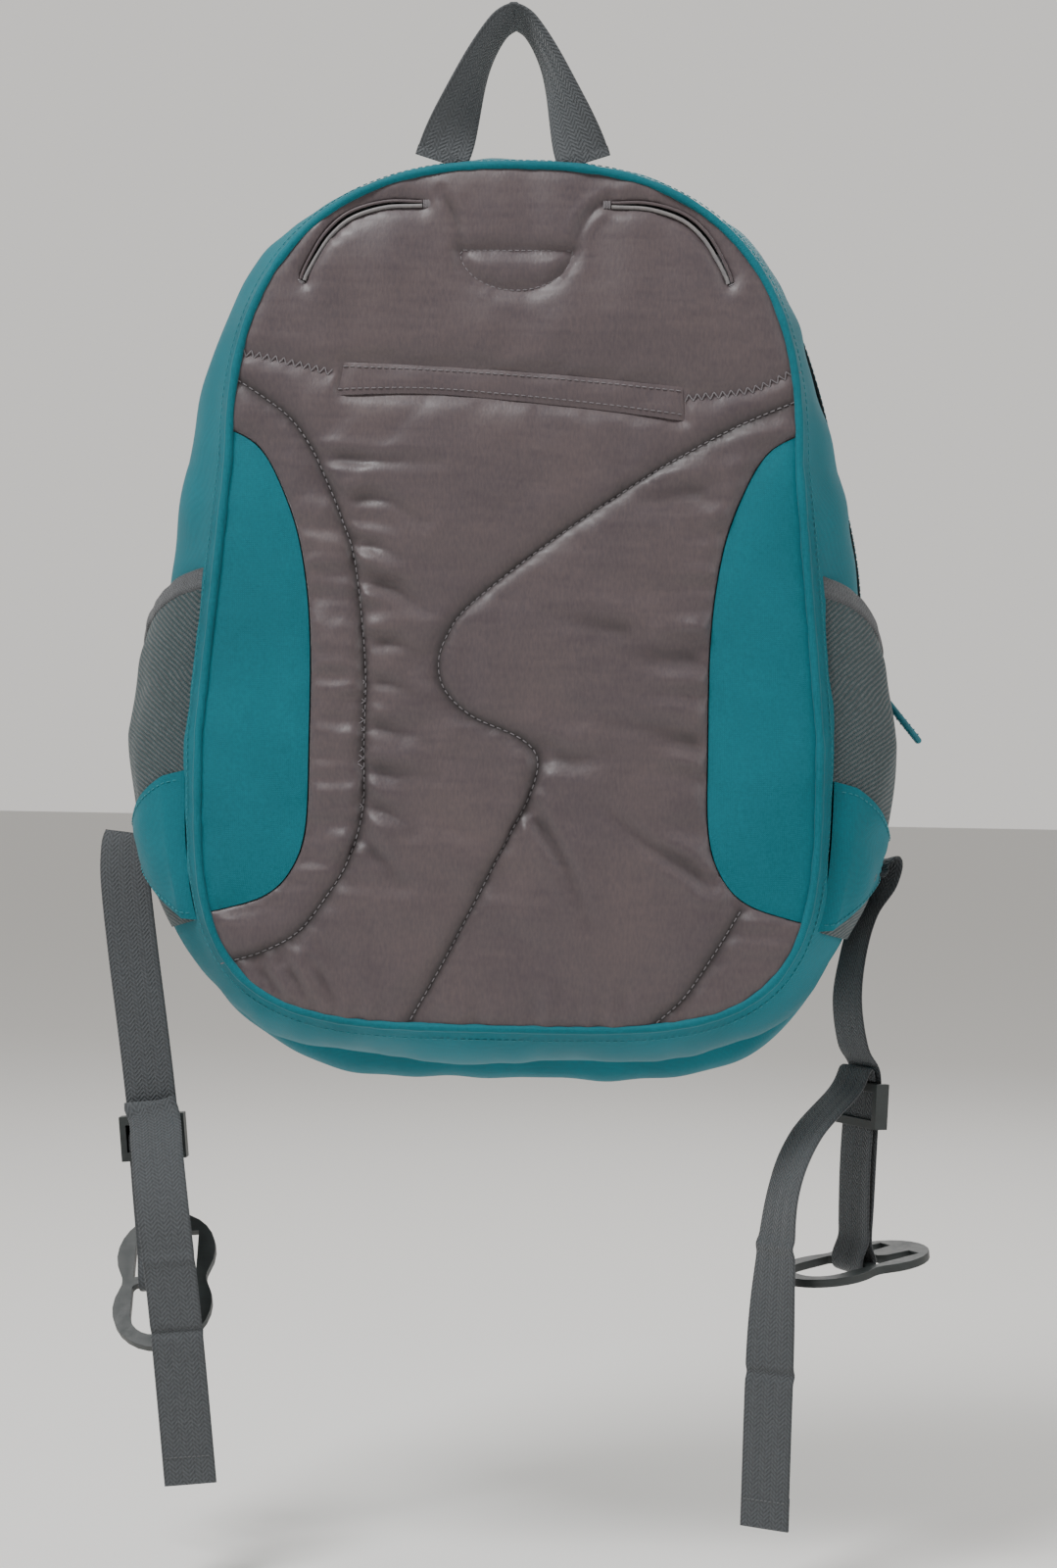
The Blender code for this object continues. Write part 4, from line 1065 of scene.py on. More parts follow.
def slit_trim():
    """Pale piping round the two strap slits, with a bar tack across each end."""
    centre = curve(SLIT, 0.002)
    for side, word in ((-1, "left"), (1, "right")):
        loop = slit_loop(side, 0.0006)
        half = len(loop) // 2
        for edge, part, radius, finish, stands_for in (
            (loop[:half], "upper", 0.0007, "quilt", []),
            (loop[half:], "lower", 0.0009, "piping", [f"slit_piping_{word}"]),
        ):
            path = standing(resample(edge, 0.002), SEAM_Y - 0.0010)
            settle(tube(f"slit_{part}_edge_{word}", path, radius), finish, "pack_body", stands_for)
        rows = []
        for end, inner in ((centre[0], centre[1]), (centre[-1], centre[-2])):
            out = unit(end - inner)
            aside = np.array([-out[1], out[0]]) * 0.0019
            middle = end + out * (0.0014 + 0.0007 * np.arange(5))[:, None]
            rows.append([standing((middle + aside * s) * (side, 1), SEAM_Y - 0.0011) for s in (-1, 1)])
        settle(threads(f"slit_bar_tacks_{word}", rows, 0.0004), "thread", "pack_body")


def spread(line, count):
    """A line of points redrawn with count of them."""
    shares = np.linspace(0, 1, count)
    return np.column_stack([np.interp(shares, np.linspace(0, 1, len(line)), c) for c in line.T])


def stow_welt():
    """Folded strip that closes the slot where the shoulder straps are tucked away."""
    count = 70
    top, bottom = (spread(curve(line, 0.0025), count)[:, None] for line in (WELT_TOP, WELT_BOTTOM))
    across = np.linspace(0, 1, 12)
    flat = top * (1 - across)[None, :, None] + bottom * across[None, :, None]
    crown = np.sin(pi * np.clip(across * 1.05, 0, 1)) ** 0.6 * 0.0009 + across * 0.0006
    shares = np.linspace(0, 1, count)
    ends = smoothstep(np.minimum(shares, 1 - shares) / 0.035)[:, None]
    strip = np.stack([flat[..., 0], SEAM_Y - 0.0004 - ends * crown, flat[..., 1]], axis=-1)
    strip[..., 1] -= ripple(strip, 21, 0.022, (1.4, 1, 1)) * 0.0005 * ends
    back = strip.copy()
    back[..., 1] = SEAM_Y - 0.0002
    welt = grid_solid("stow_slot_strip", strip, 0.001, inner=back)
    settle(welt, "quilt", "pack_body", ["stow_slot_welt"])
    edges = ((-2, 0.0014), (1, -0.0006))
    rows = [run_stitch(strip[:, k] + (0, -0.0004, rise), 0.0032) for k, rise in edges]
    settle(threads("welt_thread", rows, 0.0003), "thread", "pack_body")


# ---- shell --------------------------------------------------------------------------------

FABRIC = 0.0016
FACE_STEP = 0.005  # spacing of the points on the front's flat panels
RIM_Y = PAD_LOW.y + 0.0024  # where the rolled seam round the back panel runs
CUT_GAP = 0.03  # stations between the cut across the front and each panel's edge
TOOTH_PITCH, TOOTH_RADIUS = 0.0018, 0.00055


def rolled_seam(name, station, y, table, extra, radius, body):
    """Rolled seam allowance along the shell, slightly uneven where the needle gathers it."""
    closed = station[-1] - station[0] >= 2 * HALF - 1e-6
    path = resample(seam_line(station, y, table, extra), 0.0035)
    path = path[:-1] if closed else path
    size = radius * (1 + 0.10 * ripple(path, 31, 0.012))
    return settle(tube(name, path, size, closed), "teal", body)


def slack(points, seed, amount, wavelength, stretch):
    """Inward and outward give of a slack panel."""
    return ripple(points, seed, wavelength, stretch) * amount


def rear_gusset():
    """Side and bottom band between the back panel and the zip, slack where it hangs empty."""
    station = np.linspace(0, 2 * HALF, 420, endpoint=False)
    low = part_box("rear_gusset")[0].y
    depths = np.linspace(low, ZIP_Y, 30)
    base = shell(station, depths, REAR)
    fade = np.sin(pi * (depths - low) / (ZIP_Y - low)) ** 0.6
    give = slack(base, 41, 0.0014, 0.055, (1, 2.2, 1)) * fade
    give += slack(base, 42, 0.0006, 0.020, (1, 3, 1)) * fade
    give += slack(base, 43, 0.0005, 0.010, (1, 3, 1)) * np.exp(-(depths - low) / 0.006)
    gusset = grid_solid("side_and_base_gusset", shell(station, depths, REAR, give), FABRIC, True)
    settle(gusset, "teal", "pack_body", ["rear_gusset"])
    around = np.linspace(0, 2 * HALF, 900)
    rolled_seam("back_panel_seam", around, RIM_Y, REAR, -0.0010, 0.0021, "pack_body")
    row = run_stitch(seam_line(around, low + 0.0045, REAR, 0.0012), 0.0034)
    settle(threads("gusset_thread", [row], 0.00028), "teal_thread", "pack_body")


def cut_face(rim_line):
    """Cloth inside a closed line in x and z, and every point's distance to its rim."""
    loop = resample(np.vstack([rim_line, rim_line[:1]]), FACE_STEP)[:-1]
    flat, faces, _ = cut_cloth([loop], [], FACE_STEP, lambda points: inside(points, loop))
    return flat, faces, distance(flat, loop, True)


def front_sheet(name, first, last, crown, seed, body, stands_for):
    """A front panel between two stations, its straight cut edge closed by a chord."""
    rim_line = seam_line(np.linspace(first, last, 400), FRONT[-1, 0], FRONT)[:, [0, 2]]
    flat, faces, rim = cut_face(rim_line)
    sheet = standing(flat, FRONT_Y)
    give = crown * (1 - np.exp(-rim / 0.035))
    give += ripple(sheet, seed, 0.09, (1.2, 1, 1)) * 0.0022 * smoothstep(rim / 0.03)
    give += ripple(sheet, seed + 1, 0.014, (1, 1, 1)) * 0.0005 * np.exp(-rim / 0.010)
    sheet[:, 1] += give
    settle(cloth_solid(name, sheet, faces, FRONT_Y - 0.0022), "teal", body, stands_for)


def gusset_strip(name, first, last, seed, body, stands_for):
    station = np.linspace(first, last, 360)
    depths = np.linspace(ZIP_Y + 0.0008, FRONT_Y - 0.0008, 12)
    give = slack(shell(station, depths, FRONT), seed, 0.0008, 0.03, (1, 2, 1))
    outer = shell(station, depths, FRONT, give * np.sin(pi * np.linspace(0, 1, 12)))
    settle(grid_solid(name, outer, FABRIC), "teal", body, stands_for)


def front_shell():
    """The opening flap over the dome, the fixed front below it and the fold between them."""
    low, high = FLAP_CUT + CUT_GAP, FLAP_CUT - CUT_GAP
    last = 2 * HALF - low
    gusset_strip("flap_side_band", -high, high, 51, "front_flap", ["flap_gusset"])
    front_sheet("flap_front", -high, high, 0.0045, 52, "front_flap", ["flap_panel"])
    gusset_strip("lower_side_band", low, last, 54, "pack_body", ["lower_front_gusset"])
    front_sheet("lower_front", low, last, 0.0, 55, "pack_body", ["lower_front_wall"])
    for name, start, end, body in (
        ("flap_seam", -high, high, "front_flap"),
        ("lower_front_seam", low, last, "pack_body"),
    ):
        around = np.linspace(start, end, 500)
        rolled_seam(name, around, FRONT_Y - 0.0010, FRONT, 0.0004, 0.0016, body)
    flap_fold()


def flap_fold():
    """Fold of cloth that bridges the flap and the fixed front along the hinge."""
    z = JOINTS["flap_open"]["pos_m"][2]
    low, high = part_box("flap_panel")
    width = np.linspace(low.x + 0.004, high.x - 0.004, 60)[:, None]
    heights = np.linspace(-0.006, 0.006, 11)[None, :]
    crown = 0.0006 * np.cos(heights / 0.006 * pi / 2)
    grid = np.stack(np.broadcast_arrays(width, FRONT_Y + 0.0012 + crown, z + heights), axis=-1)
    fold = grid_solid("flap_fold", grid, 0.001)
    colour(fold, "teal")
    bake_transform(fold)


def zip_teeth(name, edge, inner, body):
    """One side of a zip's coil: short rounded teeth across the tape's edge."""
    edge, inner = resample(edge, TOOTH_PITCH), resample(inner, TOOTH_PITCH)
    count = min(len(edge), len(inner))
    shift = (edge[:count] - inner[:count]) * 0.15
    settle(threads(name, [(inner[:count] - shift, edge[:count])], TOOTH_RADIUS), "coil", body)


def main_zip():
    """Tapes and coil from one side of the pack, over the dome, to the other side."""
    lift = 0.0012
    for word, reach, body, tape_y, edge_y, inner_y, stitch_y, table in (
        ("rear", ZIP_END, "pack_body", (0.0527, ZIP_Y - 0.0006),
         ZIP_Y + 0.0004, ZIP_Y - 0.0018, 0.0539, REAR),
        ("front", FLAP_CUT - CUT_GAP, "front_flap", (ZIP_Y + 0.0010, 0.0675),
         ZIP_Y - 0.0002, ZIP_Y + 0.0022, 0.0663, FRONT),
    ):  # fmt: skip
        station = np.linspace(-reach, reach, 420)
        outer = shell(station, np.linspace(*tape_y, 4), table, lift)
        settle(grid_solid(f"main_zip_tape_{word}", outer, 0.0008), "tape", body, [f"zip_tape_{word}"])
        fine = np.linspace(-reach, reach, 1200)
        edge, inner = (seam_line(fine, y, table, lift + 0.0002) for y in (edge_y, inner_y))
        zip_teeth(f"main_zip_coil_{word}", edge, inner, body)
        row = run_stitch(seam_line(fine, stitch_y, table, lift + 0.0001), 0.0032)
        settle(threads(f"main_zip_thread_{word}", [row], 0.00026), "teal_thread", body)


def front_pocket():
    """Deep pocket on the lower front: rounded band, crowned face and a zip across its top."""
    station = DOME + SIDE
    while outline(station)[1] > POCKET_TOP_Z - 0.003:
        station += 0.01
    last = 2 * HALF - station
    around = np.linspace(station, last, 380)
    depths = np.linspace(POCKET[0, 0], POCKET[-1, 0], 20)
    give = slack(shell(around, depths, POCKET), 61, 0.0013, 0.040, (1, 2, 1))
    give *= np.sin(pi * np.linspace(0.05, 1, 20)) ** 0.7
    band = grid_solid("pocket_band", shell(around, depths, POCKET, give), FABRIC)
    settle(band, "teal", "pack_body", ["pocket_gusset"])
    rim_line = resample(seam_line(np.linspace(station, last, 600), POCKET[-1, 0], POCKET), FACE_STEP)
    flat, faces, rim = cut_face(rim_line[:, [0, 2]])
    sheet = standing(flat, POCKET_Y)
    sheet[:, 1] += 0.0040 * (1 - np.exp(-rim / 0.03))
    sheet[:, 1] += ripple(sheet, 62, 0.07, (1.5, 1, 1)) * 0.0016 * smoothstep(rim / 0.03)
    sheet[:, 1] += ripple(sheet, 63, 0.013) * 0.0004 * np.exp(-rim / 0.010)
    face = cloth_solid("pocket_front", sheet, faces, POCKET_Y - 0.0016)
    settle(face, "teal", "pack_body", ["pocket_face"])
    fine = np.linspace(station, last, 700)
    rolled_seam("pocket_seam", fine, POCKET[-1, 0] + 0.0008, POCKET, 0.0, 0.0016, "pack_body")
    pocket_zip()


def pocket_zip():
    """Two zip strips across the pocket's mouth, with a coil between them."""
    rear_low, rear_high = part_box("pocket_zip_rear")
    front_low, front_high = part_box("pocket_zip_front")
    middle, top = (rear_high.y + front_low.y) / 2, rear_high.z
    for word, start, stop, left, right, narrowing, past in (
        ("rear", rear_low.y, rear_high.y, rear_low.x, rear_high.x, 0.0, 0.0003),
        ("front", front_high.y, front_low.y, front_low.x, front_high.x, 0.10, -0.0003),
    ):
        x = np.linspace(left + 0.001, right - 0.001, 160)
        depth = np.linspace(start, stop, 6)[None, :]
        grid = np.stack(np.broadcast_arrays(x[:, None], depth, top + 0.0001), axis=-1)
        grid[..., 2] += ripple(grid, 71, 0.03, (1, 3, 1)) * 0.0003
        grid[..., 0] *= 1 - narrowing * np.linspace(0, 1, 6)
        strip = grid_solid(f"pocket_zip_tape_{word}", grid, 0.0016)
        settle(strip, "tape", "pack_body", [f"pocket_zip_{word}"])
        line = np.column_stack([x * 0.985, np.full(160, stop), np.full(160, top + 0.0004)])
        edge = line + (0, middle - stop + past, 0)
        inner = line - (0, (middle - stop) * 0.25, 0)
        zip_teeth(f"pocket_zip_coil_{word}", edge, inner, "pack_body")


# ---- side pockets and wings ---------------------------------------------------------------

POCKET_LOW_Y, POCKET_HIGH_Y = 0.0040, 0.0518
MOUTH_STATION = DOME + 2.85
FOOT_STATION = DOME + SIDE + 4.0
MOUTH_SLOPE = 1.8
SWELL = 0.0095
WING_SEAM = (DOME + SIDE + 0.7, DOME + SIDE + 4.0)
WING_TIP = (DOME + SIDE + 1.9, DOME + SIDE + 2.6)
WING_TIP_Y = 0.0515
MESH_TUCK, WING_TUCK = 0.0022, 0.0054  # how far a rear edge is drawn down into the seam


def rear_tuck(share):
    """1 at a side piece's rear edge, where it is sewn in, falling to 0 an eighth of the way out."""
    return 1 - smoothstep(share / 0.12)


def mirrored_shell(side, y, station, extra):
    """Points of the shell on one side of the pack."""
    return on_shell(station if side > 0 else 2 * HALF - station, y, REAR, extra)


def pocket_surface(side, y, v, extra):
    """Points of a side pocket for depths y and shares v from its mouth to its foot."""
    y, v = np.broadcast_arrays(np.asarray(y, float), np.asarray(v, float))
    u = (y - POCKET_LOW_Y) / (POCKET_HIGH_Y - POCKET_LOW_Y)
    top = MOUTH_STATION + MOUTH_SLOPE * u
    return mirrored_shell(side, y, top + (FOOT_STATION - top) * v, pocket_lift(u, v) + extra)


def pocket_lift(u, v):
    across = 1 - np.abs(2 * u - 1) ** 4
    down = np.sin(pi * np.clip(0.28 + 0.72 * v, 0, 1))
    return 0.0012 + SWELL * across * np.where(v < 1, down, 0.0)


def side_pockets():
    """Stretch mesh pockets, slack and folded, with an elastic edge that pulls the mouth in."""
    y = np.linspace(POCKET_LOW_Y, POCKET_HIGH_Y, 36)[None, :]
    u = np.linspace(0, 1, 36)[None, :]
    tuck = MESH_TUCK * rear_tuck(u)
    edge = np.sin(pi * u) ** 0.5
    v = np.linspace(0, 1, 70)[:, None]
    below = smoothstep(v / 0.12) * smoothstep((1 - v) / 0.15)
    mouth = np.linspace(-0.062, 0.002, 9)[:, None]
    roll = np.sqrt(np.clip(1 - np.linspace(-1, 1, 9)[:, None] ** 4, 0, 1)) * 0.0007
    for side, word in ((-1, "left"), (1, "right")):
        base = pocket_surface(side, y, v, 0.0)
        folds = ripple(base, 81 + side, 0.022, (1, 1, 2.6)) * 0.0016
        folds += ripple(base, 91 + side, 0.045, (1, 1, 1)) * 0.0014
        give = np.maximum((folds + 0.0010) * edge * below, -0.0010) - tuck
        outer = pocket_surface(side, y, v, 0.0012 + give)
        inner = pocket_surface(side, y, v, give - tuck)
        pocket = grid_solid(f"mesh_pocket_{word}", outer, 0.001, inner=inner)
        settle(pocket, "mesh", "pack_body", [f"side_pocket_{word}"])
        gather = ripple(pocket_surface(side, y, mouth, 0.0), 95 + side, 0.007, (1, 1, 4)) * 0.0005
        gather -= tuck
        outer = pocket_surface(side, y, mouth, 0.0015 + roll + gather).transpose(1, 0, 2)
        inner = pocket_surface(side, y, mouth, -0.0005 - roll * 0.5 + gather).transpose(1, 0, 2)
        binding = grid_solid(f"mesh_pocket_edge_{word}", outer, 0.001, inner=inner)
        settle(binding, "binding", "pack_body", [f"pocket_binding_{word}"])


def wing_surface(side, k, j, extra):
    """Points of a strap wing: k runs from the back seam to its tip and j down its width."""
    y = POCKET_LOW_Y + (WING_TIP_Y - POCKET_LOW_Y) * k
    narrowing = np.sin(pi / 2 * k)
    first = WING_SEAM[0] + (WING_TIP[0] - WING_SEAM[0]) * narrowing
    last = WING_SEAM[1] + (WING_TIP[1] - WING_SEAM[1]) * narrowing
    station = first + (last - first) * j
    u = (y - POCKET_LOW_Y) / (POCKET_HIGH_Y - POCKET_LOW_Y)
    top = MOUTH_STATION + MOUTH_SLOPE * u
    v = np.minimum((station - top) / (FOOT_STATION - top), 1.0)
    lift = pocket_lift(u, v) + 0.0028 - WING_TUCK * rear_tuck(2 * k)
    return mirrored_shell(side, y + 0 * j, station, lift + extra)


def strap_wings():
    """Triangular wings that carry the lower straps, stitched along their edges."""
    k = np.linspace(0, 1, 34)[:, None]
    j = np.linspace(0, 1, 22)[None, :]
    pull = -0.0008 * np.exp(-(((j - 0.5) / 0.18) ** 2)) * smoothstep(k)
    free = smoothstep(np.minimum(j, 1 - j) / 0.2) * (1 - rear_tuck(k))
    for side, word in ((-1, "left"), (1, "right")):
        folds = ripple(wing_surface(side, k, j, 0.0), 101 + side, 0.030, (1, 1, 1)) * 0.0010
        give = (folds + pull) * free
        outer = wing_surface(side, k, j, 0.0018 + give)
        inner = wing_surface(side, k, j, give - MESH_TUCK * rear_tuck(2 * k))
        wing = grid_solid(f"strap_gusset_{word}", outer, 0.0016, inner=inner)
        settle(wing, "teal", "pack_body", [f"strap_wing_{word}"])
        rows = []
        for share in (0.05, 0.95):
            line = wing_surface(side, np.linspace(0.02, 0.97, 60), np.full(60, share), 0.0021)
            rows.append(run_stitch(line, 0.0032))
        for share in (0.86, 0.95):
            line = wing_surface(side, np.full(20, share), np.linspace(0.08, 0.92, 20), 0.0021)
            rows.append(run_stitch(line, 0.0030))
        settle(threads(f"strap_gusset_thread_{word}", rows, 0.0003), "teal_thread", "pack_body")


# ---- webbing ------------------------------------------------------------------------------


def ribbon(name, path, across, width, thickness, cup=0.0, spacing=0.0016):
    """Webbing along a path: width direction at each point, rounded edges, cupped if asked."""
    joined = resample(np.hstack([np.asarray(path, float), np.asarray(across, float)]), spacing)
    path, across = joined[:, :3], joined[:, 3:]
    ahead = directions(path)
    across = unit(across - ahead * np.sum(across * ahead, axis=1, keepdims=True))
    face = np.cross(ahead, across)
    cup = np.interp(np.linspace(0, 1, len(path)), np.linspace(0, 1, np.size(cup)), np.ravel(cup))
    turn = np.linspace(0, 2 * pi, 24, endpoint=False)
    flat = np.sign(np.cos(turn)) * np.abs(np.cos(turn)) ** 0.55
    thick = np.sign(np.sin(turn)) * np.abs(np.sin(turn)) ** 0.45
    u = flat * width / 2
    out = thick * thickness / 2 + cup[:, None] * (flat**2 - 0.33)
    verts = path[:, None] + across[:, None] * u[:, None] + face[:, None] * out[..., None]
    weave = np.stack(np.broadcast_arrays(u, travelled(path)[:, None], 0.0), axis=-1)
    return new_object(
        name, verts.reshape(-1, 3), ring_faces(len(path), len(turn)), weave.reshape(-1, 3), 60
    )


WIDTH = 0.0250
HOOK_SHIFT = -0.0025  # the loop hangs a little to the left of the pack's middle
LOOP_HALF = 0.0325  # half the distance between the loop's feet
LOOP_THICKNESS = 0.0018


def haul_loop():
    """Carrying loop: sewn flat at its feet, folding edge-on where it crosses the hook."""
    pivot_y = JOINTS["haul_loop_swing"]["pos_m"][1]
    low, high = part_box("haul_loop")
    foot = low.z + 0.0036
    half = [
        (LOOP_HALF, foot), (0.0254, -0.0408), (0.0162, -0.0175), (0.0072, -0.0022),
        (0.0, high.z + 0.0012),
    ]  # fmt: skip
    right = curve(half, 0.002)
    path = standing(np.vstack([right * (-1, 1), right[::-1][1:]]) + (HOOK_SHIFT, 0), pivot_y)
    ahead = directions(path)
    flat = np.column_stack([ahead[:, 2], np.zeros(len(path)), -ahead[:, 0]])
    middle = len(right) - 1
    k = 1 - np.abs(np.arange(len(path)) - middle) / middle
    turn = radians(74) * (1 - (1 - k) ** 2.2)
    across = flat * np.cos(turn)[:, None] + np.array([0, 1.0, 0]) * np.sin(turn)[:, None]
    cup = 0.0022 * smoothstep(k / 0.9) - 0.0004
    loop = ribbon("carrying_loop", path, across, WIDTH, LOOP_THICKNESS, cup)
    settle(loop, "webbing", "haul_loop", ["haul_loop"])
    for side, word in ((-1, "left"), (1, "right")):
        x = HOOK_SHIFT + side * LOOP_HALF
        foot_path = [(x, pivot_y, foot + 0.001), (x + side * 0.0014, pivot_y + 0.0002, foot - 0.0035)]
        across = [(1, 0, 0)] * 2
        tuck = ribbon(f"carrying_loop_foot_{word}", foot_path, across, WIDTH, LOOP_THICKNESS)
        colour(tuck, "webbing")
        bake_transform(tuck)


class Strap:
    """A lower strap's directions and places, read from its joints."""

    def __init__(self, word):
        swing = JOINTS[f"strap_{word}_swing"]
        tail = JOINTS[f"tail_{word}_swing"]
        self.word = word
        self.root = np.array(swing["pos_m"])
        self.along = unit(np.array(JOINTS[f"adjuster_{word}_slide"]["axis"]))
        self.across = -unit(np.array(tail["axis"]))
        self.out = np.cross(self.along, self.across)
        self.adjuster = float((np.array(tail["pos_m"]) - self.root) @ self.along) + 0.005
        hook = JOINTS[f"hook_{word}_turn"]["pos_m"]
        self.bar = float((np.array(hook) - self.root) @ self.along)

    def at(self, down, out=0.0, across=0.0):
        return self.root + self.along * down + self.out * out + self.across * across


LAYER = 0.0009  # from the strap's middle plane to either layer
TURN = 0.0039  # radius of the webbing's turn round the plate's bar
WEBBING = 0.0013
HEM = 14  # points of the tail's path in its hem


def strap_rear(strap, top):
    """Rear layer: from the wing, through the adjuster, down to the plate's bar and round it."""
    bar, seat = strap.bar, strap.adjuster
    path = [strap.at(*spot[:3]) for spot in top]
    across = [strap.across * cos(spot[3]) + strap.out * sin(spot[3]) for spot in top]
    rest = [(down, -LAYER) for down in (seat - 0.004, seat + 0.022, bar - 0.030, bar - 0.012)]
    rest.append((bar - 0.0045, -TURN * 0.95))
    rest += [(bar + TURN * sin(a), -TURN * cos(a)) for a in np.linspace(0, pi, 7)]
    rest += [(bar - 0.0045, TURN * 0.95), (bar - 0.012, LAYER), (bar - 0.018, LAYER)]
    path += [strap.at(*spot) for spot in rest]
    across += [strap.across] * len(rest)
    line = catmull(np.hstack([path, across]), 8)
    body = ribbon(f"lower_strap_{strap.word}", line[:, :3], line[:, 3:], WIDTH, WEBBING)
    settle(body, "webbing", f"strap_{strap.word}", [f"strap_webbing_{strap.word}"])


def strap_front(strap):
    """Front layer between the plate and the adjuster."""
    start, stop = strap.bar - 0.0175, strap.adjuster + 0.003
    sway = np.sin(np.linspace(0, pi, 30)) * 0.0012
    path = [strap.at(*spot) for spot in zip(np.linspace(start, stop, 30), LAYER + 0.0002 + sway)]
    name, word = f"strap_return_{strap.word}", strap.word
    front = ribbon(name, path, [strap.across] * 30, WIDTH - 0.0004, WEBBING)
    colour(front, "webbing")
    strap.at(start)
    strap.at(stop + 0.006)
    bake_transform(front)


def strap_tail(strap, reach, faces, creases):
    """Free end: over the adjuster, down in front, creased where it was folded, with a hem."""
    start, body = strap.adjuster, f"tail_{strap.word}"
    seat = [(-0.0010, 0.0024), (-0.0032, 0.0027), (-0.0058, 0.0033), (-0.0058, 0.0052)]
    path = curve([strap.at(start + spot[0], *spot[1:]) for spot in seat + reach], 0.0012)
    travel = np.linspace(0, 1, len(path))
    k = smoothstep((travel - 0.30) / 0.40)[:, None]
    across = strap.across * (1 - k) + np.array(faces, float) * k
    normal = unit(np.cross(directions(path), across))
    for place, depth, half in creases:
        path = path + normal * (depth * np.exp(-(((travel - place) / half) ** 2)))[:, None]
    tail = ribbon(f"strap_end_{strap.word}", path, across, WIDTH, WEBBING, spacing=0.0012)
    settle(tail, "webbing", body, [f"strap_tail_{strap.word}"])
    hem = path[-HEM:] - normal[-HEM:] * WEBBING * 0.95
    fold = ribbon(f"strap_hem_{strap.word}", hem, across[-HEM:], WIDTH - 0.0006, WEBBING * 0.9)
    settle(fold, "webbing", body)
    row = HEM - 2
    steps = unit(across[-row]) * np.linspace(-0.011, 0.011, 12)[:, None]
    offsets = (-WEBBING * 1.5 - 0.0001, WEBBING * 0.5 + 0.0001)
    rows = [run_stitch(path[-row] + steps + normal[-row] * offset, 0.0022) for offset in offsets]
    settle(threads(f"strap_hem_thread_{strap.word}", rows, 0.0003), "web_thread", body)


def refined_copy(name, node, finish, body, bevel, segments=3):
    """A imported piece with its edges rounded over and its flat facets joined."""
    bm = bmesh.new()
    bm.from_mesh(NODES[node].data)
    bmesh.ops.remove_doubles(bm, verts=bm.verts, dist=1e-6)
    bmesh.ops.dissolve_limit(bm, angle_limit=radians(0.5), verts=bm.verts, edges=bm.edges)
    mesh = bpy.data.meshes.new(name)
    bm.to_mesh(mesh)
    bm.free()
    obj = linked(name, mesh)
    rounded = obj.modifiers.new("rounded", "BEVEL")
    rounded.width = bevel
    rounded.segments = segments
    rounded.limit_method = "ANGLE"
    rounded.angle_limit = radians(35)
    mesh.shade_smooth()
    mesh.set_sharp_from_angle(angle=radians(50))
    return settle(obj, finish, body, [node])


def lower_straps():
    """Both straps: places down, out and across from the wing's tip, and the webbing's turn."""
    left, right = Strap("left"), Strap("right")
    left_top = [
        (0.0010, -0.0030, -0.0020, 0.30), (0.0080, -0.0018, -0.0036, 0.18),
        (0.0250, -0.0005, -0.0044, 0.06), (0.0600, -0.0012, -0.0034, 0.0),
        (0.1000, -0.0010, -0.0014, 0.0),
    ]  # fmt: skip
    right_top = [
        (-0.0010, 0.0060, 0.0, -0.40), (-0.0056, 0.0022, 0.0, -0.46), (-0.0050, -0.0028, 0.0, -0.46),
        (0.0050, -0.0006, 0.0010, -0.30), (0.0200, 0.0056, 0.0010, 0.10), (0.0400, 0.0102, 0.0, 0.12),
        (0.0620, 0.0122, 0.0, 0.04), (0.0840, 0.0072, 0.0, 0.0),
    ]  # fmt: skip
    left_reach = [
        (0.002, 0.0100, 0.0030), (0.018, 0.0290, 0.0065), (0.044, 0.0450, 0.0102),
        (0.080, 0.0478, 0.0122), (0.120, 0.0485, 0.0132), (0.1715, 0.0490, 0.0140),
    ]  # fmt: skip
    right_reach = [
        (0.005, 0.0120, 0.0010), (0.026, 0.0372, 0.0060), (0.052, 0.0515, 0.0106),
        (0.090, 0.0534, 0.0098), (0.130, 0.0538, 0.0102), (0.211, 0.0530, 0.0118),
    ]  # fmt: skip
    strap_rear(left, left_top)
    strap_rear(right, right_top)
    strap_tail(left, left_reach, left.across, [(0.47, 0.0012, 0.012), (0.64, -0.0018, 0.010)])
    strap_tail(right, right_reach, (0.90, -0.43, 0), [(0.45, 0.0014, 0.012), (0.70, -0.0018, 0.010)])
    for strap in (left, right):
        strap_front(strap)
        for name, node, body, bevel in (
            ("ladder_adjuster", "strap_adjuster", "adjuster", 0.0006),
            ("hook_ring", "hook_plate", "hook", 0.0009),
        ):
            name, node, body = (f"{part}_{strap.word}" for part in (name, node, body))
            refined_copy(name, node, "hardware", body, bevel)


# ---- zip sliders, stowed straps and lining ------------------------------------------------


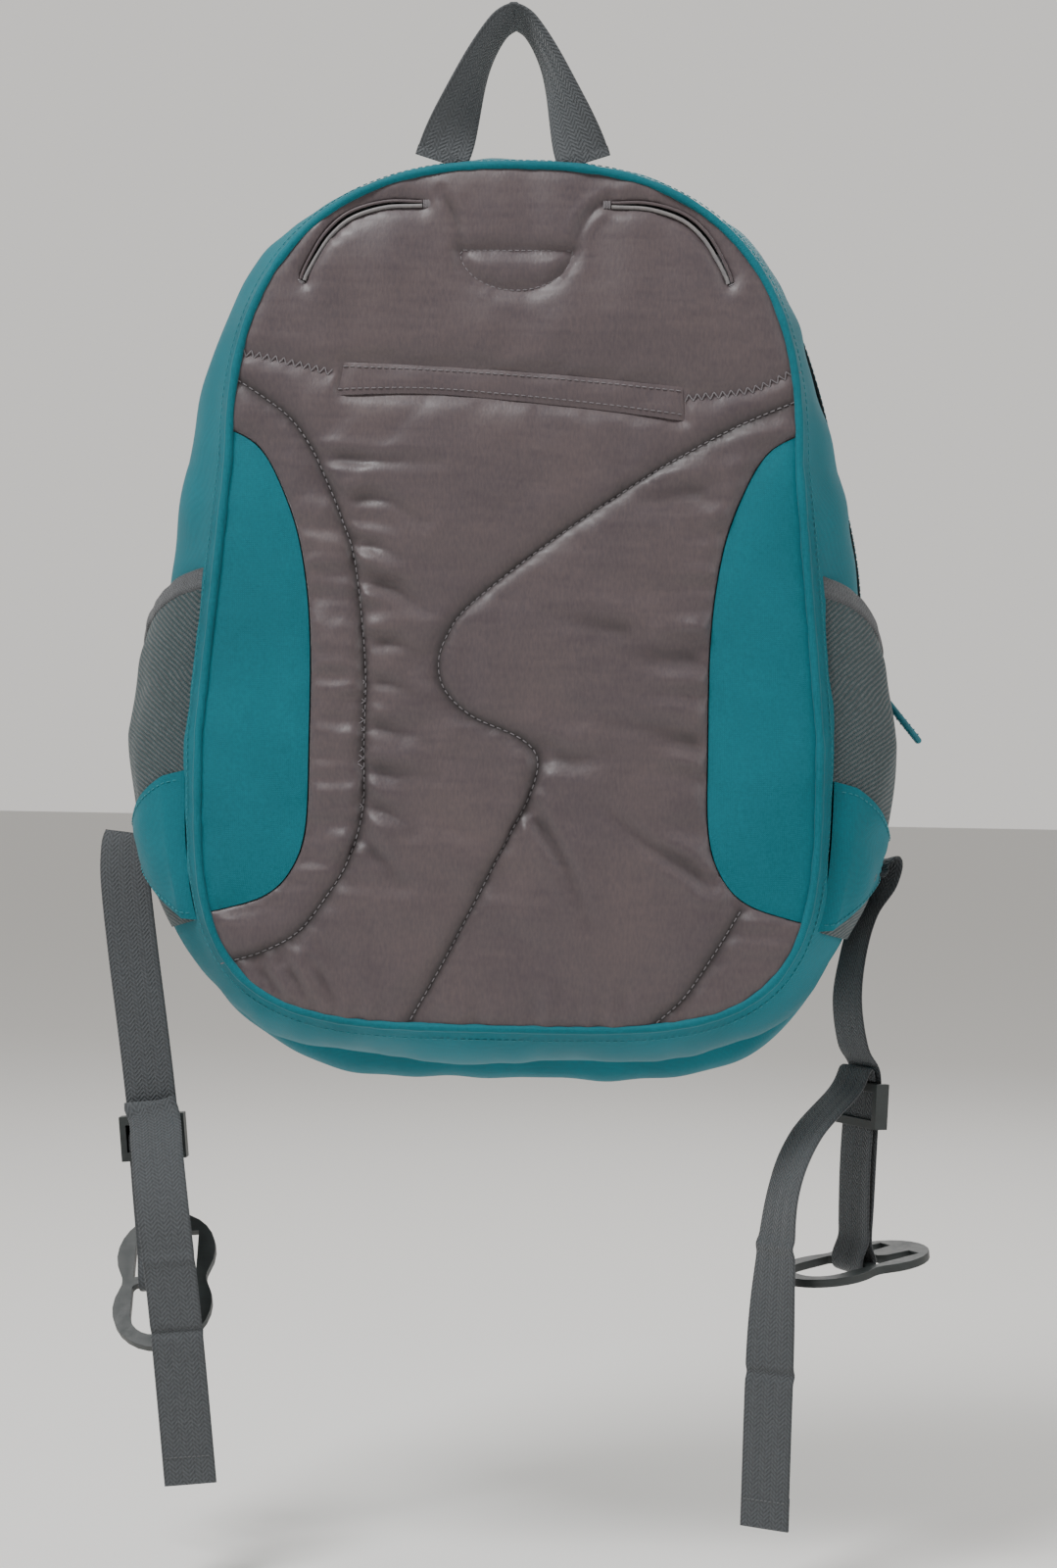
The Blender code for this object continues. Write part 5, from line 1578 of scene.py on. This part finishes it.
def zip_hardware():
    """Sliders with their pullers: a wire link through the bridge and a ribbed tab."""
    for zip_name, joint, hinge in (
        ("main_zip", "main_puller_swing", (0, 1.0, 0)),
        ("pocket_zip", "pocket_puller_lift", (1.0, 0, 0)),
    ):
        slider, puller = f"{zip_name}_slider", f"{zip_name}_puller"
        refined_copy(f"{zip_name}_runner", slider, "metal", slider, 0.0009)
        refined_copy(f"{zip_name}_tab", puller, "puller", puller, 0.0004, 2)
        pivot, hinge = np.array(JOINTS[joint]["pos_m"]), np.array(hinge)
        middle = np.array(sum(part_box(puller), Vector()) / 2)
        hang = unit(middle - pivot)
        places = ((0.0048, 1), (-0.0004, 1), (-0.0012, 0), (-0.0004, -1), (0.0048, -1))
        link = catmull([pivot + hang * down + hinge * 0.0022 * side for down, side in places], 5)
        settle(tube(f"{zip_name}_link", link, 0.00055), "metal", puller)
        face = unit(np.cross(hang, hinge)) * 0.0015
        rows = middle + hang * np.linspace(-0.006, 0.009, 6)[:, None]
        for sign, word in ((1, "front"), (-1, "back")):
            row = [rows + face * sign + hinge * half for half in (-0.0026, 0.0026)]
            settle(threads(f"{zip_name}_grip_{word}", [row], 0.0005), "puller", puller)


def stowed_straps():
    """Shoulder straps lying hidden behind the back panel, and the lining wall behind them."""
    for word in ("left", "right"):
        name, node = f"stowed_strap_{word}", f"shoulder_strap_{word}"
        strap = refined_copy(name, node, "lining", "pack_body", 0.0035)
        name, node = f"stowed_strap_loop_{word}", f"shoulder_loop_{word}"
        refined_copy(name, node, "web_thread", "pack_body", 0.0003, 2)
    wall = NODES["inner_back_wall"]
    wall.data.materials.clear()
    wall.data.materials.append(FINISH["lining"][0])


# ---- studio -------------------------------------------------------------------------------

FLOOR_REACH = 30.0
FLOOR_DROP = 0.03  # from the lowest strap end to the floor
FLOOR_COLOUR = (0.87, 0.86, 0.84, 1.0)
SKY_COLOUR = (0.56, 0.545, 0.522, 1.0)
LAMP_AIM = Vector((0, 0.05, -0.30))
LAMPS = (  # name, place, size and watts
    ("key", (-0.8, -0.9, 1.3), 0.7, 42.0),
    ("fill", (1.6, -0.7, 0.3), 1.2, 10.0),
    ("back", (0.3, 1.6, 0.9), 1.0, 12.0),
)

def add_floor():
    reach, z = FLOOR_REACH, cad_box[0].z - FLOOR_DROP
    verts = [(x * reach, y * reach, z) for x, y in ((-1, -1), (1, -1), (1, 1), (-1, 1))]
    mesh = bpy.data.meshes.new("floor")
    mesh.from_pydata(verts, [], [(0, 1, 2, 3)])
    paint = Paint("floor", 0.9, specular=0.1)
    paint.finish(FLOOR_COLOUR)
    mesh.materials.append(paint.material)
    linked("floor", mesh)


def add_sky():
    """Soft light from all round, dimmer from the camera's side than from behind the pack."""
    world = bpy.data.worlds.new("studio")
    bpy.context.scene.world = world
    world.use_nodes = True
    tree = world.node_tree
    sky = tree.nodes["Background"]
    sky.inputs["Color"].default_value = SKY_COLOUR
    split = tree.nodes.new("ShaderNodeSeparateXYZ")
    tree.links.new(tree.nodes.new("ShaderNodeTexCoord").outputs["Generated"], split.inputs[0])
    spread = tree.nodes.new("ShaderNodeMapRange")
    spread.interpolation_type = "SMOOTHSTEP"
    for key, number in (("From Min", -0.8), ("From Max", 0.8), ("To Min", 0.40), ("To Max", 1.45)):
        spread.inputs[key].default_value = number
    tree.links.new(split.outputs[1], spread.inputs["Value"])
    tree.links.new(spread.outputs[0], sky.inputs["Strength"])


def studio():
    add_floor()
    add_sky()
    for name, spot, size, power in LAMPS:
        data = bpy.data.lights.new(name, "AREA")
        data.size = size
        data.energy = power
        light = linked(name, data)
        light.location = spot
        light.rotation_euler = (LAMP_AIM - Vector(spot)).to_track_quat("-Z", "Y").to_euler()


back_panel()
panel_inserts()
slit_trim()
stow_welt()
rear_gusset()
front_shell()
main_zip()
front_pocket()
side_pockets()
strap_wings()
haul_loop()
lower_straps()
zip_hardware()
stowed_straps()
studio()
